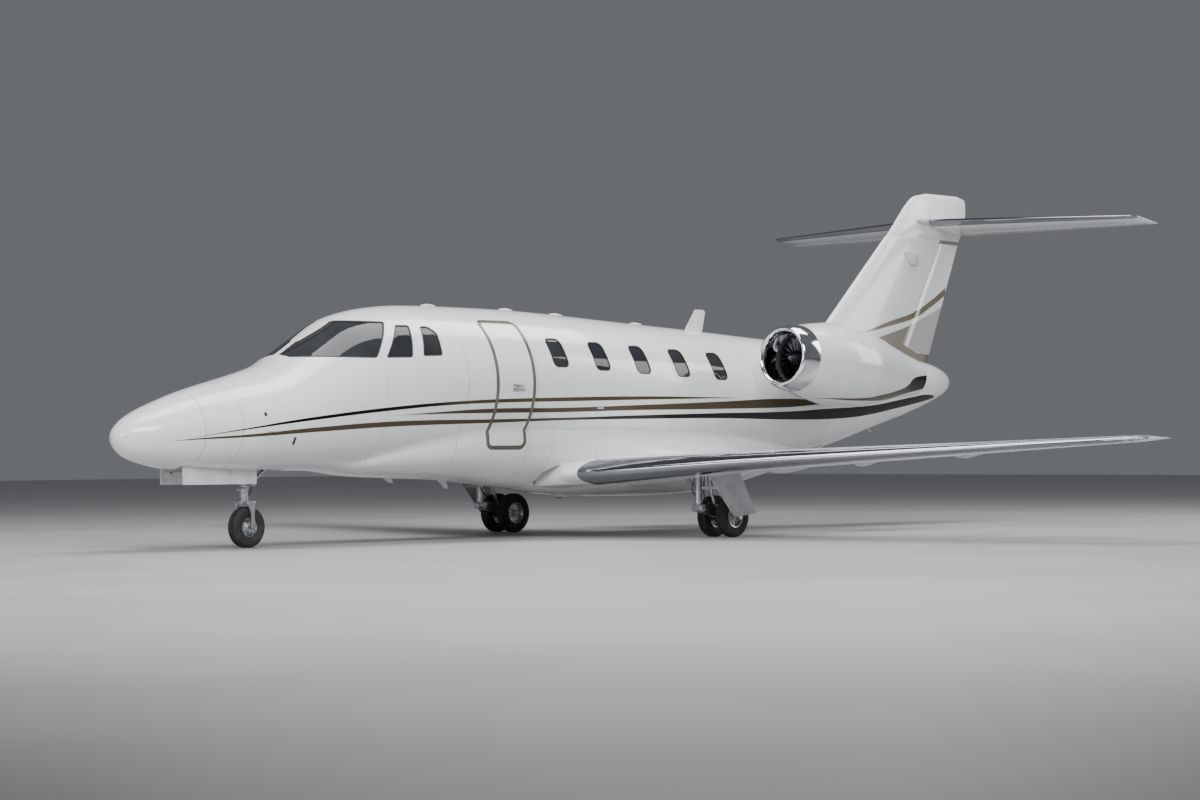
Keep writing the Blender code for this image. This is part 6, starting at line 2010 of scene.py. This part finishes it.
screen.colour(screen.mix(lit, (0.010, 0.014, 0.020), (0.10, 0.30, 0.36)))
screen.roughness(screen.math("MULTIPLY_ADD", screen.noise(40.0, 3.0), 0.06, 0.05))
DISPLAY_FOOT, DISPLAY_HEAD = (5.0225 + 0.08 * 0.22, 1.895), (5.0225 + 0.08 * 0.92, 2.160)
DISPLAY_HALF = 0.165
face = [(x + thick, z) for thick, ends in ((-0.006, (DISPLAY_FOOT, DISPLAY_HEAD)),
                                           (0.004, (DISPLAY_HEAD, DISPLAY_FOOT))) for x, z in ends]
displays = [
    prism(face, "Y", middle - DISPLAY_HALF, middle + DISPLAY_HALF) for middle in (-0.44, 0.0, 0.44)
]
piece("flight_displays", together(*displays), screen)
yokes = []
for y in (-0.33, 0.33):
    yokes.append(rod((5.03, y, 1.875), (4.86, y, 1.850), 0.014, sides=20))
    yokes.append(tube([(4.86, y - 0.13, 1.945), (4.855, y - 0.135, 1.89), (4.855, y - 0.08, 1.845),
                       (4.855, y, 1.840), (4.855, y + 0.08, 1.845), (4.855, y + 0.135, 1.89),
                       (4.86, y + 0.13, 1.945)], 0.012))
piece("control_yokes", together(*yokes), panel_black)
print("cockpit pieces:", count_of("board", "displays", "yokes"))

# %% [markdown]
# ## Seats
# Each seat is a padded cushion and a padded back over a moulded shell on a plinth. The pads are
# swollen with a short cloth simulation, as sewn covers swell over foam. One cushion and one back
# are simulated, and their meshes are then set at each of the eight places.

# %% Padded forms
SEAT_LOW = FLOOR_TOP + 0.0204
PAD_VOXEL, PAD_FRAMES, PAD_PRESSURE, PAD_CAP = 0.0085, 20, 4.0, 0.010
CUSHION_SIDE = [(-0.125, 0.232), (0.252, 0.232), (0.256, 0.340), (0.235, 0.368), (-0.120, 0.352)]
BACK_SIDE = [
    (-0.166, 0.372), (-0.264, 0.868), (-0.290, 0.886), (-0.378, 0.868), (-0.374, 0.840),
    (-0.262, 0.262), (-0.170, 0.262),
]


def swell(name, bm):
    """Remeshes a blank evenly and blows it up a little as cloth, then keeps the result."""
    blank = as_object(name, bm)
    remesh = blank.modifiers.new("remesh", "REMESH")
    remesh.mode = "VOXEL"
    remesh.voxel_size = PAD_VOXEL
    graph = bpy.context.evaluated_depsgraph_get()
    even = bpy.data.meshes.new_from_object(blank.evaluated_get(graph), depsgraph=graph)
    blank.modifiers.clear()
    blank.data = even
    start = [v.co.copy() for v in even.vertices]
    cloth = blank.modifiers.new("cloth", "CLOTH")
    cloth.settings.use_pressure = True
    cloth.settings.uniform_pressure_force = PAD_PRESSURE
    cloth.settings.effector_weights.gravity = 0.0
    cloth.settings.tension_stiffness = 18.0
    cloth.settings.quality = 6
    cloth.point_cache.frame_start, cloth.point_cache.frame_end = 1, PAD_FRAMES
    for step in range(1, PAD_FRAMES + 1):
        bpy.context.scene.frame_set(step)
    graph = bpy.context.evaluated_depsgraph_get()
    moved = [v.co.copy() for v in blank.evaluated_get(graph).data.vertices]
    blank.modifiers.clear()
    for vert, first, last in zip(even.vertices, start, moved):
        shift = last - first
        vert.co = first + shift * min(1.0, PAD_CAP / max(shift.length, 1e-6))
    bpy.context.scene.frame_set(1)
    shape = bmesh.new()
    shape.from_mesh(even)
    bpy.data.objects.remove(blank)
    return shape


WELT_WIDTH, WELT_DEPTH = 0.014, 0.006


def welted(bm, channels):
    """Presses sewn channels into a pad: lines of (axis, place) sink the points near them."""
    bm.normal_update()
    for vert in bm.verts:
        for index, place in channels:
            near = 1 - abs(vert.co[index] - place) / WELT_WIDTH
            if near > 0:
                vert.co -= vert.normal * WELT_DEPTH * near * near * (3 - 2 * near)
    return bm


cushion_form = welted(swell("cushion", prism(CUSHION_SIDE, "Y", -0.222, 0.222, 0.020, 3)),
                      [(1, -0.120), (1, 0.120), (0, 0.06)])
back_form = welted(swell("back", prism(BACK_SIDE, "Y", -0.222, 0.222, 0.020, 3)),
                   [(1, -0.120), (1, 0.120), (2, 0.70), (2, 0.48)])
seat_shell = together(
    block((-0.155, 0.155), (-0.20, 0.20), (0.0, 0.030), 0.008),
    block((-0.120, 0.120), (-0.16, 0.16), (0.028, 0.200), 0.020),
    block((-0.135, 0.255), (-0.235, 0.235), (0.198, 0.230), 0.012),
    *(
        block((-0.130, 0.200), (y - 0.012, y + 0.012), (0.232, 0.375), 0.008)
        for y in (-0.238, 0.238)
    ),
)


def set_at(form, x, y, facing):
    """A copy of a seat form at its place in the cabin, turned to face forward or aft."""
    turned_to = Matrix.Rotation(0.0 if facing > 0 else math.pi, 4, "Z")
    return placed(form.copy(), Matrix.Translation((x, y, SEAT_LOW)) @ turned_to)


SEATS = {
    "cockpit_seats": [(4.30, 0.33, 1), (4.30, -0.33, 1)],
    "cabin_seats": [(1.75, 0.31, -1), (1.75, -0.31, -1), (0.45, 0.31, 1), (0.45, -0.31, 1),
                    (-0.95, 0.31, 1), (-0.95, -0.31, 1)],
}
BASES = {
    "cockpit_seats": ((3.95, 4.50), (-0.58, 0.58)), "cabin_seats": ((-1.35, 2.20), (-0.44, 0.44))
}
for group, places in SEATS.items():
    shells = [set_at(seat_shell, *place) for place in places]
    base_x, base_y = BASES[group]
    shells.append(block(base_x, base_y, (FLOOR_TOP + 0.0003, FLOOR_TOP + 0.0200), 0.004))
    piece(f"{group}_frames", together(*shells), trim_beige, nodes=[group])
    for number, place in enumerate(places, 1):
        for kind, form in (("cushion", cushion_form), ("back", back_form)):
            pad = piece(
                f"{group}_{kind}_{number}",
                set_at(form, *place),
                leather,
                sharp=60,
            )
print("pads:", count_of("cushion", "_back_"))

# %% [markdown]
# ## Antennas, lamps and small fittings
# The small fittings are simple blocks and lathe shapes, each set on the skin where the photograph
# shows it: a blade antenna over the cabin, low antennas along the roof, two small blades and a
# long lamp fairing under the belly, a scoop on the fin and the lamps at the tips.

# %% Antennas and belly fittings
ANTENNA = [(-1.60, 2.800), (-1.99, 2.800), (-2.07, 3.120), (-2.03, 3.150), (-1.86, 3.150)]


def blade_antenna(outline, half_wide):
    bm = prism(outline, "Y", -half_wide, half_wide)
    edges = [e for e in bm.edges if abs(e.verts[0].co.y - e.verts[1].co.y) < 1e-6]
    return bevelled(bm, edges, half_wide * 0.8, profile=0.6)


def pod(centre, size):
    """A streamlined bulb: blunt ahead, tapering aft, as long, wide and high as its size."""
    bm = bmesh.new()
    bmesh.ops.create_uvsphere(bm, u_segments=40, v_segments=20, radius=1.0)
    for vert in bm.verts:
        along = vert.co.x
        pinch = 1 - 0.35 * max(0.0, -along)
        vert.co = Vector(
            (
                centre[0] + along * size[0] / 2,
                centre[1] + vert.co.y * pinch * size[1] / 2,
                centre[2] + vert.co.z * pinch * size[2] / 2,
            )
        )
    return bm


def roof_at(x):
    return Hull(*smooth_row(HULL, x)).top


def keel_at(x):
    return Hull(*smooth_row(HULL, x)).keel


piece("roof_blade", blade_antenna(ANTENNA, 0.013), gear_white)
bumps = [pod((x, 0.0, roof_at(x) + 0.004), (0.26, 0.11, 0.055)) for x in (3.37, 1.96, 1.00, -0.60)]
piece("roof_antennas", together(*bumps), gear_white)
fins = [
    blade_antenna(
        [
            (x + 0.11, keel_at(x) + 0.02),
            (x - 0.05, keel_at(x) + 0.02),
            (x - 0.09, keel_at(x) - drop),
            (x - 0.03, keel_at(x) - drop),
        ],
        0.009,
    )
    for x, drop in ((4.09, 0.060), (3.12, 0.105))
]
piece("belly_blades", together(*fins), gear_white)
lamp_x = 0.79
belly_low = Belly(*smooth_row(BELLY, lamp_x)).bottom
piece("belly_lamp_fairing", pod((lamp_x, 0.0, belly_low + 0.004), (0.62, 0.17, 0.085)), gear_white)
piece(
    "belly_lamp_lens",
    pod((lamp_x + 0.14, 0.0, belly_low - 0.012), (0.22, 0.12, 0.070)),
    lens_clear,
)
tail_rod = together(rod((-5.83, 0, 1.50), (-5.86, 0, 1.425), 0.012, 0.008, 20),
                    rod((-5.845, 0, 1.432), (-5.915, 0, 1.425), 0.009, 0.006, 20))
piece("tail_probe", tail_rod, steel)

# %% Hinge fairings under the wing
def wing_under(span, c):
    rib = rib_at(WING, span)
    return foil_spot(WING, rib, span, c, -half_thick(rib, c))


def hinge_fairing(span, first, last, half_wide, drop, side):
    """A slim keel under the wing that carries a hinge, deepest near its middle."""
    rings = []
    for i in range(17):
        t = i / 16
        swell_by = math.sin(math.pi * t**0.8) ** 0.8
        spot = wing_under(span, first + (last - first) * t)
        deep, wide = drop * swell_by + 0.002, half_wide * (0.25 + 0.75 * swell_by)
        rings.append(
            [
                Vector(
                    (
                        spot.x,
                        (span + wide * math.cos(math.pi * j / 10)) * side,
                        spot.z + 0.012 - (deep + 0.012) * math.sin(math.pi * j / 10),
                    )
                )
                for j in range(11)
            ]
        )
    return lofted(rings)


fairings = []
for side in (1, -1):
    fairings += [hinge_fairing(2.930, 0.50, 0.975, 0.045, 0.060, side),
                 hinge_fairing(5.520, 0.50, 0.975, 0.026, 0.045, side),
                 hinge_fairing(4.250, 0.42, 0.695, 0.040, 0.042, side)]
piece("hinge_fairings", together(*fairings), gear_white)

# %% Fin scoops
def fin_wall(x, z):
    rib = rib_at(FIN, z)
    return half_thick(rib, (rib.lead - x) / rib.chord)


SCOOP_X, SCOOP_Z = (-6.94, -6.62), (3.99, 4.19)
scoops = []
for side in (1, -1):
    wall_y = fin_wall(-6.78, 4.09)
    outline = [(SCOOP_X[1], SCOOP_Z[1]), (SCOOP_X[1] - 0.14, SCOOP_Z[0]), (SCOOP_X[0], SCOOP_Z[0]),
               (SCOOP_X[0], SCOOP_Z[1] - 0.03)]
    across = sorted((side * (wall_y - 0.02), side * (wall_y + 0.038)))
    shell = prism(outline, "Y", *across)
    scoops.append(bevelled(shell, shell.edges[:], 0.014))
    mouth = sorted((side * (wall_y + 0.006), side * (wall_y + 0.030)))
    scoops.append(
        block(
            (SCOOP_X[0] + 0.03, SCOOP_X[1] - 0.17), mouth, (SCOOP_Z[0] - 0.006, SCOOP_Z[0] + 0.004)
        )
    )
scoop = piece("fin_scoops", together(*scoops), [gear_white, seal_black])
for face in scoop.data.polygons:
    face.material_index = int(face.center.z < SCOOP_Z[0] - 0.003)

# %% Root bullets and jack pads
bullets = [pod((-7.16, 0.112 * side, 4.684), (0.46, 0.085, 0.120)) for side in (1, -1)]
piece("root_bullets", together(*bullets), gear_white)
JACK_X, JACK_Y, JACK_Z = 0.35, 3.2, (0.872, 0.905)
jack_height = JACK_Z[1] - JACK_Z[0]
pads = [spun([(0.0, 0.0), (0.030, 0.0), (0.034, 0.004), (0.040, jack_height), (0.0, jack_height)],
             Matrix.Translation((JACK_X, JACK_Y * side, JACK_Z[0])), 32) for side in (1, -1)]
piece("jack_pads", together(*pads), steel)

# %% Beacon, tip lamps and static wicks
beacon_place = Matrix.Translation((-7.44, 0, 5.088))
red_lens = Finish(
    "beacon_lens", (0.45, 0.02, 0.015), 0.08, Transmission_Weight=0.4, Coat_Weight=1.0
)
facet = red_lens.math("PINGPONG", red_lens.z, 0.004)
red_lens.colour(
    red_lens.mix(red_lens.span(facet, 0.0, 0.004), (0.30, 0.012, 0.010), (0.50, 0.03, 0.02))
)
piece(
    "fin_beacon",
    spun(
        [(0.0, 0.0), (0.030, 0.0), (0.030, 0.012), (0.024, 0.024), (0.012, 0.030), (0.0, 0.0315)],
        beacon_place,
        32,
    ),
    red_lens,
)
LENS_PROUD = 0.0015
lamps = []
for side in (1, -1):
    rings = []
    for span in (7.90, 7.96, 8.02, 8.06, 8.10, 8.125):
        rib = rib_at(WING, span)
        thin = tip_rounding(WING, span, TIP_RUN)
        places = [0.34 * (i / 9) ** 2 for i in range(10)]
        top, under = ([foil_spot(WING, rib, span, c, way * (half_thick(rib, c) + LENS_PROUD) * thin)
                       + Vector((LENS_PROUD, 0, 0)) for c in places] for way in (1, -1))
        rings.append(top + under[:0:-1])
    lamps.append(mirrored(lofted(rings), side))
piece("tip_lamps", together(*lamps), lens_clear)
WICK_SPAN = 7.95
rear = foil_spot(WING, rib_at(WING, WICK_SPAN), WICK_SPAN, 1.0, 0.0)
wicks = [rod((rear.x + 0.01, y, rear.z), (rear.x - 0.12, y, rear.z), 0.003, 0.0015, 8)
         for y in (WICK_SPAN, -WICK_SPAN)]
piece("static_wicks", together(*wicks), hose_black)


# %% Fittings on the fuselage side
def skin_patch(x, z, side=1):
    """A place on the hull's side and the way that the skin faces there."""
    row = Hull(*smooth_row(HULL, x))
    reach = row.top - row.widest if z > row.widest else row.widest - row.bottom
    angle = math.asin((z - row.widest) / reach)
    spot = Vector((x, row.half * math.cos(angle) * side, z))
    facing = Vector((0, math.cos(angle) / row.half * side, math.sin(angle) / reach)).normalized()
    return spot, facing


def on_skin(bm, x, z, side=1):
    """Lays a part drawn flat, with Z outwards and X forward, on the hull's side."""
    spot, facing = skin_patch(x, z, side)
    fore = (Vector((1, 0, 0)) - facing * facing.x).normalized()
    frame_of = Matrix((fore, facing.cross(fore), facing)).transposed().to_4x4()
    return placed(bm, Matrix.Translation(spot) @ frame_of)


ports, dark_ports = [], []
for side in (1, -1):
    dark_ports.append(
        on_skin(
            rod((0, 0, -0.004), (0, 0, 0.0025), 0.026, sides=32, rounded=0.001), 6.698, 1.619, side
        )
    )
    dark_ports.append(
        on_skin(
            block((-0.017, 0.017), (-0.050, 0.050), (-0.004, 0.0025), 0.002), 6.283, 1.295, side
        )
    )
    ports.append(
        on_skin(block((-0.06, 0.06), (-0.010, 0.010), (-0.004, 0.004), 0.003), 1.142, 1.721, side)
    )
probes = []
for side in (1, -1):
    spot, facing = skin_patch(6.60, 1.42, side)
    out = spot + facing * 0.075
    probes.append(tube([spot - facing * 0.01, spot + facing * 0.05,
                        out + Vector((0.03, 0, 0)), out + Vector((0.15, 0, 0))], 0.008))
piece("static_ports", together(*ports), steel)
piece("dark_ports", together(*dark_ports), seal_black)
piece("pitot_probes", together(*probes), steel)
handle = together(block((-0.110, 0.110), (-0.045, 0.045), (-0.003, 0.0025), 0.0012),
                  block((-0.090, 0.085), (-0.010, 0.014), (0.002, 0.012), 0.004),
                  rod((0.070, 0.0, 0.0), (0.070, 0.0, 0.014), 0.024, sides=32, rounded=0.003))
piece("door_handle", on_skin(handle, 2.705, 1.969, 1), steel, body="entry_door")
print("small fittings done; pieces in all:", len(pieces))

# %% [markdown]
# ## Stage and light
# A plain pale floor and a soft studio: one broad light on the camera's side, a wide one overhead,
# a lower fill from ahead and a strip off the tail. Strong small lamps would burn hard spots into
# the glossy paint, so every lamp is large and far away.

# %% Floor
floor_paint = Finish("studio_floor", (0.42, 0.42, 0.43), 0.42)
scuffs = floor_paint.noise(0.35, 6.0)
floor_paint.colour(
    floor_paint.mix(
        floor_paint.span(scuffs, 0.3, 0.7), (0.400, 0.400, 0.405), (0.440, 0.440, 0.445)
    )
)
floor_paint.roughness(floor_paint.math("MULTIPLY_ADD", scuffs, 0.12, 0.36))
floor = bmesh.new()
bmesh.ops.create_grid(floor, x_segments=8, y_segments=8, size=70.0)
bmesh.ops.translate(floor, verts=floor.verts[:], vec=(0, 0, -0.002))
floor = as_object("studio_floor", floor)
floor.data.materials.append(floor_paint.material)

# %% Lamps and surrounding light
world = bpy.data.worlds.new("studio")
world.use_nodes = True
background = world.node_tree.nodes["Background"]
background.inputs["Color"].default_value = (0.72, 0.75, 0.80, 1.0)
background.inputs["Strength"].default_value = 0.20
bpy.context.scene.world = world


def softbox(name, place, aim, width, depth, power):
    data = bpy.data.lights.new(name, "AREA")
    data.shape = "RECTANGLE"
    data.size, data.size_y = width, depth
    data.energy = power
    lamp = bpy.data.objects.new(name, data)
    lamp.matrix_world = Matrix.Translation(place) @ facing_along(Vector(aim) - Vector(place), "-Z")
    bpy.context.scene.collection.objects.link(lamp)


softbox("key", (15, 16, 15), (1, 0, 1.5), 16, 7, 5200)
softbox("overhead", (-1, 1, 14), (-1, 0, 1.5), 22, 6, 3000)
softbox("bow_fill", (24, 4, 7), (3, 0, 1.5), 8, 6, 1300)
softbox("tail_strip", (-16, 10, 8), (-4, 0, 2.5), 5, 10, 900)
